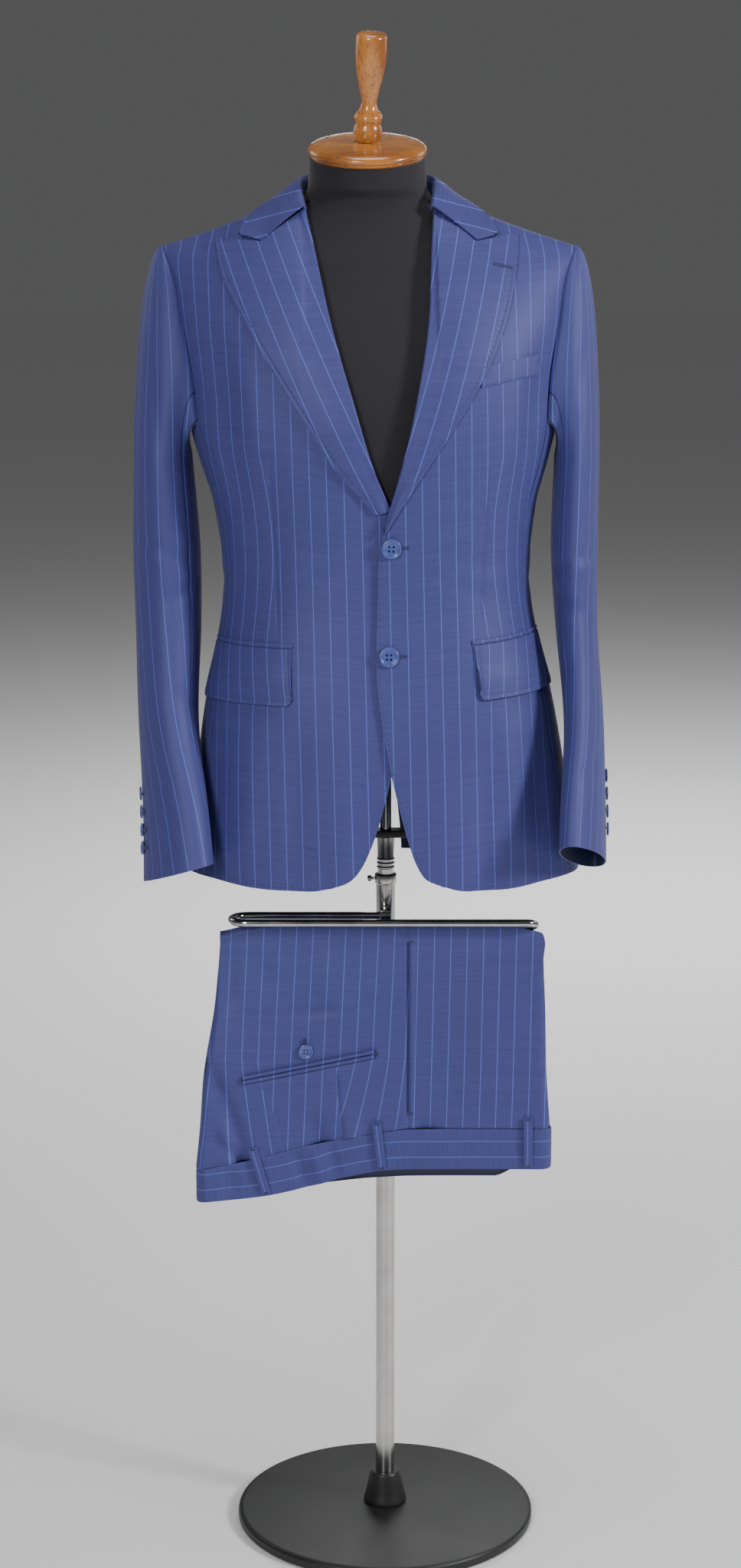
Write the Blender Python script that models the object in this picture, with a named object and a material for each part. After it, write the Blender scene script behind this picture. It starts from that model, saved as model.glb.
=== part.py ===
"""A man's two-piece pinstripe suit: the jacket sits on a limbless dress form, and the trousers hang folded from its stand.

Metres, +Z up. The origin is on the floor, under the stand's pole. The jacket's front faces -Y, so +X is the wearer's left.
Cloth pieces are thin walls on a shared jacket surface, so that neighbours meet at their seams with a hair's gap.
"""

import math

import bpy
from mathutils import Matrix, Vector

# Walls and gaps
JACKET_WALL = 0.0015
SLEEVE_WALL = 0.0014
LAPEL_WALL = 0.0016
TROUSER_WALL = 0.0012
SEAM_GAP = 0.00035

# The jacket's main heights
HEM_Z = 0.745
HEM_RISE_AT_SIDE = 0.010
ARMPIT_Z = 1.235
SHOULDER_TIP_Z = 1.415
NECK_POINT_Z = 1.4685
BACK_NECK_DROP = 0.013
NECK_HALF = 0.070
SHOULDER_HALF = 0.2148
SHOULDER_Y = 0.004
VENT_TOP_Z = 0.965
VENT_HALF_AT_HEM = 0.021

# The form leans a little to one side on its pole
LEAN_AT_HEM = -0.0028
LEAN_PER_METRE = -0.0227

# How square the body's level sections are, and where the side seams run on them
SQUARENESS = 2.3
SEAM_SHARE = 0.943
SIDE_SEAM_ANGLE = math.asin(SEAM_SHARE ** (SQUARENESS / 2))

# Level sections of the jacket: height, half width, front depth, back depth
BODY = (
    (0.745, 0.2136, 0.118, 0.108),
    (0.820, 0.2035, 0.121, 0.112),
    (0.900, 0.1920, 0.121, 0.112),
    (0.950, 0.1833, 0.119, 0.107),
    (1.000, 0.1722, 0.115, 0.099),
    (1.050, 0.1640, 0.112, 0.091),
    (1.100, 0.1645, 0.114, 0.090),
    (1.150, 0.1715, 0.120, 0.096),
    (1.190, 0.1835, 0.125, 0.104),
    (1.235, 0.1930, 0.127, 0.112),
    (1.300, 0.1930, 0.124, 0.120),
    (1.360, 0.1930, 0.114, 0.120),
    (1.415, 0.1930, 0.104, 0.110),
    (1.470, 0.1930, 0.100, 0.100),
)

# Armhole seam: height, distance from the body's middle line
ARMHOLE = (
    (1.235, 0.1820),
    (1.260, 0.1835),
    (1.290, 0.1870),
    (1.336, 0.1955),
    (1.375, 0.2020),
    (1.415, 0.2148),
)

# Shoulder seam: distance from the middle line, height
SHOULDER = (
    (0.000, 1.4685),
    (0.070, 1.4685),
    (0.110, 1.4515),
    (0.162, 1.4320),
    (0.2148, 1.4150),
)

# Front edges, from hem to neck: height, x. The last rows are the lapel's roll line.
TOP_FRONT_EDGE = (
    (0.7520, 0.0600),
    (0.7600, 0.0440),
    (0.7720, 0.0350),
    (0.7900, 0.0272),
    (0.8268, 0.0165),
    (0.8927, 0.0015),
    (0.9741, -0.0098),
    (1.0546, -0.0092),
    (1.1000, -0.0078),
    (1.1242, -0.0036),
    (1.1537, 0.0059),
    (1.1950, 0.0178),
    (1.2447, 0.0294),
    (1.3332, 0.0438),
    (1.4188, 0.0477),
    (1.4685, 0.0507),
)
UNDER_FRONT_EDGE = (
    (0.7500, -0.0590),
    (0.7570, -0.0420),
    (0.7680, -0.0305),
    (0.7850, -0.0205),
    (0.8177, -0.0085),
    (0.8701, 0.0049),
    (0.9300, 0.0180),
    (0.9900, 0.0250),
    (1.0900, 0.0250),
    (1.1200, 0.0170),
    (1.1556, -0.0004),
    (1.1927, -0.0159),
    (1.2551, -0.0346),
    (1.3332, -0.0575),
    (1.4207, -0.0776),
    (1.4685, -0.0893),
)

# Lapel outer edges, from the break to the peak: height, x
TOP_LAPEL_EDGE = (
    (1.1237, -0.0020),
    (1.1448, 0.0109),
    (1.1911, 0.0409),
    (1.2429, 0.0750),
    (1.2945, 0.1035),
    (1.3499, 0.1239),
    (1.4007, 0.1334),
    (1.4249, 0.1350),
)
UNDER_LAPEL_EDGE = (
    (1.1440, -0.0120),
    (1.1717, -0.0352),
    (1.1911, -0.0524),
    (1.2368, -0.0825),
    (1.3129, -0.1298),
    (1.3499, -0.1502),
    (1.3843, -0.1680),
    (1.4207, -0.1765),
)
# Gorge: distance from the middle line and height of the roll line's top, the collar's inner and outer corners
GORGE_TOP = (0.0655, 1.4500)
GORGE_CORNER = (0.1090, 1.4165)
COLLAR_CORNER = (0.1324, 1.4225)
GORGE_GAP = 0.0006

# Collar, from the centre back to its front end: station, fold (out, y, z), stand foot (out, y, z),
# leaf edge (out, share over the shoulder ridge: back is positive)
COLLAR = (
    (0.00, 0.0000, 0.0690, 1.4950, 0.0000, 0.0625, 1.4620, 0.0000, 0.045),
    (0.20, 0.0310, 0.0640, 1.4945, 0.0290, 0.0580, 1.4625, 0.0400, 0.045),
    (0.40, 0.0560, 0.0430, 1.4900, 0.0525, 0.0395, 1.4655, 0.0790, 0.030),
    (0.60, 0.0700, 0.0100, 1.4835, 0.0672, 0.0090, 1.4690, 0.1050, 0.002),
    (0.80, 0.0700, -0.0240, 1.4735, 0.0675, -0.0215, 1.4640, 0.1210, -0.030),
    (1.00, 0.0665, -0.0500, 1.4540, 0.0645, -0.0455, 1.4500, 0.1324, -0.095),
)

# Sleeves, from the upper arm to the cuff: height, centre x, centre y, half thickness, half depth,
# turn of the oval in degrees, rise of its front edge per metre of depth, rise of its inner edge per metre of width
RIGHT_SLEEVE = (  # the viewer's left
    (0.7640, -0.2195, -0.0850, 0.0300, 0.0540, 33.0, 0.16, 0.28),
    (0.8200, -0.2230, -0.0660, 0.0300, 0.0550, 26.0, 0.15, 0.20),
    (0.9200, -0.2320, -0.0250, 0.0315, 0.0560, 12.0, 0.10, 0.06),
    (1.0200, -0.2322, -0.0030, 0.0350, 0.0580, 6.0, 0.04, 0.00),
    (1.1000, -0.2333, 0.0030, 0.0358, 0.0610, 5.0, 0.00, 0.00),
    (1.1950, -0.2360, 0.0040, 0.0312, 0.0640, 4.0, 0.00, 0.00),
)
LEFT_SLEEVE = (  # the viewer's right
    (0.7830, 0.2068, -0.0960, 0.0212, 0.0560, 19.0, 0.42, 0.00),
    (0.8300, 0.2082, -0.0780, 0.0210, 0.0570, 17.0, 0.34, 0.00),
    (0.9200, 0.2100, -0.0390, 0.0205, 0.0580, 10.0, 0.20, 0.00),
    (1.0200, 0.2030, -0.0060, 0.0225, 0.0600, 4.0, 0.06, 0.00),
    (1.1000, 0.2000, 0.0020, 0.0245, 0.0630, 3.0, 0.00, 0.00),
    (1.1950, 0.2015, 0.0040, 0.0235, 0.0650, 3.0, 0.00, 0.00),
)
SLEEVE_BACK_SEAM = -0.14
SLEEVE_FRONT_SEAM = 0.36
CUFF_BUTTONS = 4
CUFF_BUTTON_PITCH = 0.0172
# How far the cuff buttons lie from the back seam, as a share of the way round each sleeve
CUFF_BUTTON_TURNS = {1: 0.035, -1: 0.060}

# Flap pockets: inner angle round the body at top and bottom, outer angle, top and bottom height at each end
RIGHT_FLAP = (28.0, 25.8, 80.0, 1.0040, 1.0045, 0.9460, 0.9450)
LEFT_FLAP = (32.0, 31.2, 81.0, 1.0075, 1.0150, 0.9510, 0.9590)
JET_HEIGHT = 0.0045
FLAP_CORNER = 0.006

# Breast pocket welt: x of its ends, heights of its lower edge at each end, height of the welt
BREAST_WELT = (0.1065, 0.1555, 1.2745, 1.2845, 0.0205)

# Buttons: x, height
FRONT_BUTTONS = ((0.0048, 1.1096), (0.0026, 0.9975))
FRONT_BUTTON_RADIUS = 0.0107
CUFF_BUTTON_RADIUS = 0.0074
POCKET_BUTTON_RADIUS = 0.0082

# Dress form and its stand
FORM_BOTTOM_Z = 0.905
FORM_CLEARANCE = 0.010
FORM_NECK_HALF = 0.0614
FORM_NECK_DEPTH = 0.0560
# The form's shoulder line, under the jacket's: distance from the middle line, height
FORM_SHOULDER = (
    (0.000, 1.4590),
    (0.068, 1.4590),
    (0.110, 1.4485),
    (0.162, 1.4297),
    (0.2130, 1.4133),
)
NECK_TOP_Z = 1.5055
NECK_TILT = math.radians(15.0)
CAP_RADIUS = 0.0620
CAP_THICKNESS = 0.0150
FINIAL_LEAN = math.radians(2.4)
BASE_RADIUS = 0.166
BASE_THICKNESS = 0.012
LOWER_TUBE_RADIUS = 0.0104
UPPER_TUBE_RADIUS = 0.0090
ROD_RADIUS = 0.0060
TUBE_TOP_Z = 0.733
CROSSBAR_Z = 0.7890
CROSSBAR_HALF = 0.1050

# Finial, from its foot: height, radius
FINIAL = (
    (0.0000, 0.0125),
    (0.0030, 0.0138),
    (0.0090, 0.0153),
    (0.0150, 0.0146),
    (0.0180, 0.0132),
    (0.0205, 0.0142),
    (0.0250, 0.0150),
    (0.0290, 0.0128),
    (0.0325, 0.0098),
    (0.0400, 0.0080),
    (0.0540, 0.0108),
    (0.0690, 0.0142),
    (0.0850, 0.0160),
    (0.1030, 0.0162),
    (0.1075, 0.0156),
    (0.1095, 0.0135),
)

# Trouser bar: one bent rod
BAR_RADIUS = 0.0042
BAR_Z = 0.7030
BAR_FRONT_Y = -0.0620
BAR_BACK_Y = -0.0270
BAR_LEFT_X = -0.1655
BAR_RIGHT_X = 0.1600
LOWER_BAR_Y = -0.0440
LOWER_BAR_Z = 0.6945
LOWER_BAR_END_X = -0.1200
LUG_HALF_WIDTH = 0.0060
LUG_HALF_HEIGHT = 0.0075

# Trousers: height, left edge x, right edge x, y of the front layer, y of the back layer
TROUSER_SECTIONS = (
    (0.4300, -0.2064, 0.1790, -0.0715, -0.0480),
    (0.4760, -0.2015, 0.1780, -0.0715, -0.0480),
    (0.5350, -0.1969, 0.1738, -0.0695, -0.0480),
    (0.6050, -0.1857, 0.1720, -0.0630, -0.0485),
    (0.6600, -0.1805, 0.1695, -0.0560, -0.0490),
    (0.6885, -0.1783, 0.1684, -0.0517, -0.0486),
    (0.6945, -0.1783, 0.1490, -0.0515, -0.0486),
)
CORNER_Z = 0.6885
SIDE_SEAM_X = 0.0245
WAIST_SEAM_GAP = 0.0010
# How far the fold's top drops past the rail's open end
OPEN_END_SAG = 0.0130
# Rows of faces on a trouser panel: up to its upper corner, from there to the rail's height, and over the rail
HANGING_ROWS, CORNER_ROWS, FOLD_ROWS = 7, 1, 5
# How far the fold stands off the rail: the outer layer's outer side, the inner layer's inner side
OUTER_FOLD_GAP = 0.0037
INNER_FOLD_GAP = 0.0005
# Waistband: x, bottom height, top height
WAISTBAND = (
    (-0.2064, 0.3925, 0.4286),
    (-0.1329, 0.4007, 0.4449),
    (-0.0890, 0.4103, 0.4570),
    (-0.0498, 0.4208, 0.4650),
    (-0.0157, 0.4280, 0.4703),
    (0.0258, 0.4312, 0.4763),
    (0.1800, 0.4312, 0.4763),
)
WAISTBAND_WALL = 0.0022
WAISTBAND_FRONT_Y = -0.0722
WAISTBAND_BACK_Y = -0.0470
BACK_SAG = 0.0150
# Belt loops: x at top and at bottom
BELT_LOOPS = ((-0.1442, -0.1290), (-0.0100, -0.0040), (0.1536, 0.1540))
LOOP_RISE = 0.0135
LOOP_HALF_WIDTH = 0.0050
# Back pocket: x and height of its ends, then its button
BACK_POCKET = (-0.1539, 0.5310, -0.0120, 0.5600)
POCKET_BUTTON = (-0.0862, 0.5625)
# Folded legs behind: distance along them, left x, right x, y, z, thickness
LEG_FOLDS = (
    (-0.1180, 0.1480, -0.03790, 0.6948, 0.0026),
    (-0.1500, 0.1480, -0.03790, 0.6840, 0.0030),
    (-0.1640, 0.1470, -0.03790, 0.6550, 0.0056),
    (-0.1500, 0.1450, -0.03740, 0.5600, 0.0062),
    (-0.1150, 0.1400, -0.03740, 0.4620, 0.0062),
    (-0.1060, 0.1390, -0.03390, 0.4540, 0.0062),
    (-0.0980, 0.1380, -0.03040, 0.4620, 0.0062),
    (-0.0900, 0.1340, -0.03040, 0.5600, 0.0062),
    (-0.0720, 0.1300, -0.03040, 0.6460, 0.0062),
    (-0.0680, 0.1290, -0.02690, 0.6540, 0.0062),
    (-0.0650, 0.1280, -0.02340, 0.6460, 0.0062),
    (-0.0560, 0.1240, -0.02340, 0.5600, 0.0060),
    (-0.0480, 0.1200, -0.02340, 0.4500, 0.0056),
)

MATERIALS = {  # colour, roughness, metallic
    "suit_cloth": ((0.072, 0.105, 0.330), 0.62, 0.0),
    "button": ((0.120, 0.150, 0.380), 0.30, 0.0),
    "form_cover": ((0.020, 0.018, 0.024), 0.80, 0.0),
    "turned_wood": ((0.400, 0.170, 0.045), 0.25, 0.0),
    "chrome": ((0.620, 0.600, 0.590), 0.15, 1.0),
    "black_metal": ((0.020, 0.020, 0.020), 0.40, 0.6),
}


def clear_scene():
    for thing in list(bpy.data.objects):
        bpy.data.objects.remove(thing)


def material(name):
    found = bpy.data.materials.get(name)
    if found:
        return found
    colour, roughness, metallic = MATERIALS[name]
    made = bpy.data.materials.new(name)
    made.use_nodes = True
    shader = made.node_tree.nodes["Principled BSDF"]
    shader.inputs["Base Color"].default_value = (*colour, 1.0)
    shader.inputs["Roughness"].default_value = roughness
    shader.inputs["Metallic"].default_value = metallic
    return made


def mix(start, end, share):
    return start + (end - start) * share


def smooth_step(low, high, value):
    share = min(max((value - low) / (high - low), 0.0), 1.0)
    return share * share * (3.0 - 2.0 * share)


def read(rows, key, column=1):
    """A column's value, read on a smooth curve through rows that are sorted by their first column."""
    if key <= rows[0][0]:
        return rows[0][column]
    if key >= rows[-1][0]:
        return rows[-1][column]
    after = next(n for n in range(1, len(rows)) if key <= rows[n][0])

    def slope(n):
        low, high = rows[max(n - 1, 0)], rows[min(n + 1, len(rows) - 1)]
        return (high[column] - low[column]) / (high[0] - low[0])

    start, end = rows[after - 1], rows[after]
    span = end[0] - start[0]
    share = (key - start[0]) / span
    first, last = slope(after - 1) * span, slope(after) * span
    square, cube = share**2, share**3
    return (
        start[column] * (2 * cube - 3 * square + 1)
        + first * (cube - 2 * square + share)
        + end[column] * (3 * square - 2 * cube)
        + last * (cube - square)
    )


def add_object(name, points, faces, material_name, smooth=True):
    mesh = bpy.data.meshes.new(name)
    mesh.from_pydata([tuple(p) for p in points], [], faces)
    mesh.materials.append(material(material_name))
    mesh.validate()
    if smooth:
        mesh.shade_smooth()
        mesh.set_sharp_from_angle(angle=math.radians(35))
    made = bpy.data.objects.new(name, mesh)
    bpy.context.scene.collection.objects.link(made)
    return made


def surface_normal(surface, u, v):
    """The unit normal of surface(u, v), by differences kept inside the sheet."""
    step = 0.002
    across = surface(min(u + step, 1.0), v) - surface(max(u - step, 0.0), v)
    along = surface(u, min(v + step, 1.0)) - surface(u, max(v - step, 0.0))
    normal = across.cross(along)
    return normal.normalized() if normal.length > 1e-12 else Vector((0, 0, 1))


def cloth_wall(name, surface, across, along, wall, facing=1, closed=False, material_name="suit_cloth"):
    """A thin closed wall under the sheet surface(u, v), whose outer side is where facing times the normal points."""
    columns = across if closed else across + 1
    outer, inner = [], []
    for j in range(along + 1):
        for i in range(columns):
            u, v = i / across, j / along
            point = surface(u, v)
            outer.append(point)
            inner.append(point - surface_normal(surface, u, v) * facing * wall)
    points = outer + inner
    shift = len(outer)
    faces = []

    def side(a, b, c, d):
        faces.append((a, b, c) if facing > 0 else (c, b, a))
        faces.append((a, c, d) if facing > 0 else (d, c, a))

    for j in range(along):
        for i in range(across):
            right = (i + 1) % columns
            a, b = j * columns + i, j * columns + right
            c, d = a + columns, b + columns
            side(a, b, d, c)
            side(c + shift, d + shift, b + shift, a + shift)
    for i in range(across):
        right = (i + 1) % columns
        top = along * columns
        side(i, i + shift, right + shift, right)
        side(top + i, top + right, top + right + shift, top + i + shift)
    if not closed:
        for j in range(along):
            a, c = j * columns, (j + 1) * columns
            b, d = a + across, c + across
            side(a, c, c + shift, a + shift)
            side(b, b + shift, d + shift, d)
    return add_object(name, points, faces, material_name)


def lofted_solid(name, rings, material_name, smooth=True):
    """A closed solid through rings of points, counter-clockwise seen from the last ring's side, with flat ends."""
    count = len(rings[0])
    points = [p for ring in rings for p in ring]
    faces = []
    for j in range(len(rings) - 1):
        for i in range(count):
            right = (i + 1) % count
            a, b = j * count + i, j * count + right
            faces.append((a, b, b + count, a + count))
    faces.append(tuple(range(count))[::-1])
    last = (len(rings) - 1) * count
    faces.append(tuple(range(last, last + count)))
    return add_object(name, points, faces, material_name, smooth)


def turned_solid(name, profile, place, material_name, sides=24):
    """A solid turned about the local Z axis of place. The profile's rows are height and radius."""
    rings = [
        [
            place @ Vector((radius * math.cos(a), radius * math.sin(a), height))
            for a in (2 * math.pi * i / sides for i in range(sides))
        ]
        for height, radius in profile
    ]
    return lofted_solid(name, rings, material_name)


# The jacket's surface


def middle_x(z):
    return LEAN_AT_HEM + (z - HEM_Z) * LEAN_PER_METRE


def section_depth(share):
    return max(0.0, 1.0 - abs(share) ** SQUARENESS) ** (1.0 / SQUARENESS)


def body_point(angle, z):
    """A point on the body below the armholes, at an angle from the front, positive to +X."""
    half = read(BODY, z, 1)
    depth = read(BODY, z, 2 if math.cos(angle) > 0 else 3)
    sine, cosine = math.sin(angle), math.cos(angle)
    power = 2.0 / SQUARENESS
    out = half * math.copysign(abs(sine) ** power, sine)
    y = -depth * math.copysign(abs(cosine) ** power, cosine)
    return Vector((middle_x(z) + out, y, z))


def neck_bow(out):
    """How far the neck opening's edge stands off the shoulder line, from 0 at its side to 1 at the middle."""
    return math.sqrt(max(0.0, 1.0 - (out / NECK_HALF) ** 2))


def ridge_height(out, back):
    drop = BACK_NECK_DROP * neck_bow(out) ** 2 if back else 0.0
    return read(SHOULDER, abs(out)) - drop


def upper_point(side, out, share, back):
    """A point above the armholes: out from the middle line, share of the way up to the shoulder seam."""
    top = ridge_height(out, back)
    z = ARMPIT_Z + (top - ARMPIT_Z) * share
    half = read(ARMHOLE, z) / SEAM_SHARE
    depth = read(BODY, z, 3 if back else 2) * section_depth(min(abs(out) / half, 1.0))
    bow = neck_bow(abs(out)) if abs(out) < NECK_HALF else 0.0
    if back:
        top_y = SHOULDER_Y + 0.058 * bow
        rounded = 0.10 * share**2 + 0.90 * (1 - math.sqrt(max(0.0, 1 - share**4)))
        turn = mix(rounded, share**3, bow)
        y = mix(depth, top_y, turn)
    else:
        top_y = SHOULDER_Y - 0.060 * bow
        rounded = 0.22 * share**2 + 0.78 * (1 - math.sqrt(max(0.0, 1 - share**3.4)))
        turn = mix(rounded, share**2, bow)
        y = mix(-depth, top_y, turn)
    return Vector((middle_x(z) + side * out, y, z))


def chest_point(x, z, back=False):
    """The jacket surface at x and z, on the front or the back."""
    out = x - middle_x(z)
    if z <= ARMPIT_Z:
        depth = read(BODY, z, 3 if back else 2) * section_depth(out / read(BODY, z, 1))
        return Vector((x, depth if back else -depth, z))
    share = (z - ARMPIT_Z) / (ridge_height(abs(out), back) - ARMPIT_Z)
    point = upper_point(math.copysign(1, out), abs(out), min(share, 1.0), back)
    return Vector((x, point.y, z))


def chest_normal(x, z):
    step = 0.003
    across = chest_point(x + step, z) - chest_point(x - step, z)
    along = chest_point(x, z + step) - chest_point(x, z - step)
    return across.cross(along).normalized()


# Jacket body pieces

ARMPIT_SHARE = 0.64


def front_surface(side, u, v):
    """A front panel: u from its front edge to the side seam, v from the hem to the shoulder seam."""
    edge = TOP_FRONT_EDGE if side > 0 else UNDER_FRONT_EDGE
    if v <= ARMPIT_SHARE:
        rise = v / ARMPIT_SHARE
        corner = edge[0][0]
        bottom = mix(corner, HEM_Z + 0.004, smooth_step(0.0, 0.2, u))
        bottom = mix(bottom, HEM_Z + HEM_RISE_AT_SIDE, smooth_step(0.4, 1.0, u))
        z = mix(bottom, ARMPIT_Z, rise)
        inner = read(edge, z)
        outer = middle_x(z) + side * (SEAM_SHARE * read(BODY, z, 1) - SEAM_GAP / 2)
        x = mix(inner, outer, u)
        point = chest_point(x, z)
    else:
        share = math.sin(math.pi / 2 * (v - ARMPIT_SHARE) / (1 - ARMPIT_SHARE))
        inner_z = mix(ARMPIT_Z, NECK_POINT_Z, share)
        outer_z = mix(ARMPIT_Z, SHOULDER_TIP_Z, share)
        inner = side * (read(edge, inner_z) - middle_x(inner_z))
        outer = read(ARMHOLE, outer_z) - SEAM_GAP / 2
        point = upper_point(side, mix(inner, outer, u), share, False)
        point.y -= SEAM_GAP / 2 * smooth_step(0.9, 1.0, share)
    if side < 0:
        under = smooth_step(-0.050, -0.016, point.x) * smooth_step(1.205, 1.165, point.z)
        point.y += 0.0034 * under
    return point


def side_surface(side, u, v):
    """A side panel, from the front side seam to the back one and from the hem to the armhole."""
    gap = SEAM_GAP / 2 / 0.06
    angle = mix(SIDE_SEAM_ANGLE + gap, math.pi - SIDE_SEAM_ANGLE - gap, u)
    top = ARMPIT_Z - 0.010 * math.sin(math.pi * u)
    return body_point(side * angle, mix(HEM_Z + HEM_RISE_AT_SIDE, top, v))


def back_surface(side, u, v):
    """A back panel: u from the centre seam, which opens into a vent, to the side seam."""
    if v <= ARMPIT_SHARE:
        rise = v / ARMPIT_SHARE
        z = mix(mix(HEM_Z + 0.004, HEM_Z + HEM_RISE_AT_SIDE, smooth_step(0.3, 1.0, u)), ARMPIT_Z, rise)
        opening = VENT_HALF_AT_HEM * smooth_step(VENT_TOP_Z, HEM_Z, z)
        inner = SEAM_GAP / 2 + opening
        outer = SEAM_SHARE * read(BODY, z, 1) - SEAM_GAP / 2
        point = chest_point(middle_x(z) + side * mix(inner, outer, u), z, True)
    else:
        share = math.sin(math.pi / 2 * (v - ARMPIT_SHARE) / (1 - ARMPIT_SHARE))
        outer_z = mix(ARMPIT_Z, SHOULDER_TIP_Z, share)
        outer = read(ARMHOLE, outer_z) - SEAM_GAP / 2
        point = upper_point(side, mix(SEAM_GAP / 2, outer, u), share, True)
        point.y += SEAM_GAP / 2 * smooth_step(0.9, 1.0, share)
    return point


def build_body():
    for side, name in ((1, "left"), (-1, "right")):
        cloth_wall(f"jacket_front_{name}", lambda u, v, s=side: front_surface(s, u, v), 10, 20, JACKET_WALL, side)
        cloth_wall(f"jacket_side_{name}", lambda u, v, s=side: side_surface(s, u, v), 3, 12, JACKET_WALL, side)
        cloth_wall(f"jacket_back_{name}", lambda u, v, s=side: back_surface(s, u, v), 8, 18, JACKET_WALL, -side)


# Lapels, collar and pockets


def lifted(x, z, height):
    """The chest surface at x and z, moved out along its normal."""
    return chest_point(x, z) + chest_normal(x, z) * height


def lapel_outline(side, u, v):
    """x and z of the lapel: u from the roll line to its outer edge, v from the break to the gorge."""
    roll = TOP_FRONT_EDGE if side > 0 else UNDER_FRONT_EDGE
    edge = TOP_LAPEL_EDGE if side > 0 else UNDER_LAPEL_EDGE
    low, peak = edge[0][0], edge[-1][0]
    axis = middle_x(GORGE_TOP[1])
    roll_z = mix(low + 0.004, GORGE_TOP[1], v)
    edge_z = mix(low, peak, v)
    left = Vector((read(roll, roll_z), roll_z))
    right = Vector((read(edge, edge_z), edge_z))
    corner_share = 0.52
    gorge = Vector((axis + side * GORGE_CORNER[0], GORGE_CORNER[1] - GORGE_GAP))
    start, end = Vector((read(roll, GORGE_TOP[1]), GORGE_TOP[1])), Vector((edge[-1][1], peak))
    if u < corner_share:
        top = start.lerp(gorge, u / corner_share)
    else:
        top = gorge.lerp(end, (u - corner_share) / (1 - corner_share))
    return left.lerp(right, u) + (top - start.lerp(end, u)) * v**5


def lapel_surface(side, u, v):
    x, z = lapel_outline(side, u, v)
    gap = 0.0010 + 0.0025 * smooth_step(0.0, 0.16, u) - 0.0016 * smooth_step(0.3, 1.0, u)
    under = 0.0
    if side < 0:
        under = -0.0034 * smooth_step(-0.050, -0.016, x) * smooth_step(1.205, 1.165, z)
    return lifted(x, z, LAPEL_WALL + gap + under)


def over_ridge(side, out, share):
    """The jacket surface near the shoulder seam: share is negative in front of it and positive behind."""
    return upper_point(side, out, 1 - abs(share), share > 0)


def collar_section(station):
    """Fold, foot, leaf edge and mid-leaf points of the collar at a station from -1 to 1."""
    side = -1 if station < 0 else 1
    place = abs(station)
    row = [read(COLLAR, place, column) for column in range(1, 9)]
    fold = Vector((middle_x(row[2]) + side * row[0], row[1], row[2]))
    foot = Vector((middle_x(row[5]) + side * row[3], row[4], row[5]))
    edge = over_ridge(side, row[6], row[7])
    outward = Vector((side * row[6] * 0.5, edge.y, 0.10)).normalized()
    edge += outward * 0.0042
    middle = fold.lerp(edge, 0.55) - Vector((0, 0, 0.0018)) * smooth_step(0.3, 0.6, place)
    ends = smooth_step(0.80, 1.0, place)
    x = middle_x(GORGE_CORNER[1]) + side * GORGE_CORNER[0]
    corner = lifted(x, GORGE_CORNER[1] + GORGE_GAP, 0.0042)
    leaf_corner = lifted(middle_x(COLLAR_CORNER[1]) + side * COLLAR_CORNER[0], COLLAR_CORNER[1], 0.0046)
    return fold, foot, edge.lerp(leaf_corner, ends), middle.lerp(corner, ends)


def collar_surface(u, v):
    """u from the stand's foot over the fold to the leaf's edge, v from one front end round the neck to the other."""
    fold, foot, edge, middle = collar_section(2 * v - 1)
    fold_share, middle_share = 0.28, 0.68
    if u < fold_share:
        return foot.lerp(fold, u / fold_share)
    if u < middle_share:
        share = (u - fold_share) / (middle_share - fold_share)
        bulge = 0.0008 * math.sin(math.pi * share)
        return fold.lerp(middle, share) + Vector((0, 0, bulge))
    return middle.lerp(edge, (u - middle_share) / (1 - middle_share))


def flap_surface(side, shape, u, v):
    """A pocket flap: u from its front end round the hip, v from its lower edge to the pocket's mouth."""
    inner, low_inner, outer, top_in, top_out, low_in, low_out = shape
    across = (1 - math.cos(math.pi * u)) / 2
    angle = math.radians(mix(mix(low_inner, inner, v), outer, across))
    from_end = min(across, 1 - across) * 0.17
    rounding = 0.0
    if from_end < FLAP_CORNER:
        rounding = FLAP_CORNER - math.sqrt(FLAP_CORNER**2 - (FLAP_CORNER - from_end) ** 2)
    z = mix(mix(low_in, low_out, across) + rounding, mix(top_in, top_out, across), v)
    point = body_point(side * angle, z)
    middle = Vector((middle_x(z), 0, z))
    return point + (point - middle).normalized() * (JACKET_WALL + 0.0012 + 0.0022 * (1 - v))


def jet_surface(side, shape, u, v):
    """The narrow welt along a flap pocket's mouth."""
    inner, _, outer, top_in, top_out = shape[:5]
    angle = math.radians(mix(inner - 0.5, outer, u))
    z = mix(top_in, top_out, u) + 0.0006 + JET_HEIGHT * v
    point = body_point(side * angle, z)
    middle = Vector((middle_x(z), 0, z))
    return point + (point - middle).normalized() * 0.0024


def breast_surface(u, v):
    start, end, low, low_end, height = BREAST_WELT
    x = mix(start, end, u) - 0.001 * v
    return lifted(x, mix(low, low_end, u) + height * v, 0.0024)


def build_lapels_and_collar():
    for side, name in ((1, "left"), (-1, "right")):
        cloth_wall(f"lapel_{name}", lambda u, v, s=side: lapel_surface(s, u, v), 8, 16, LAPEL_WALL, side)
    cloth_wall("collar", collar_surface, 7, 26, LAPEL_WALL, 1)


def build_jacket_pockets():
    for side, name, shape in ((1, "left", LEFT_FLAP), (-1, "right", RIGHT_FLAP)):
        cloth_wall(f"pocket_flap_{name}", lambda u, v, s=side, q=shape: flap_surface(s, q, u, v), 9, 3, 0.0012, side)
        cloth_wall(f"pocket_jet_{name}", lambda u, v, s=side, q=shape: jet_surface(s, q, u, v), 9, 1, 0.0012, side)
    cloth_wall("breast_pocket_welt", breast_surface, 4, 1, 0.0012, 1)


# Sleeves


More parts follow.
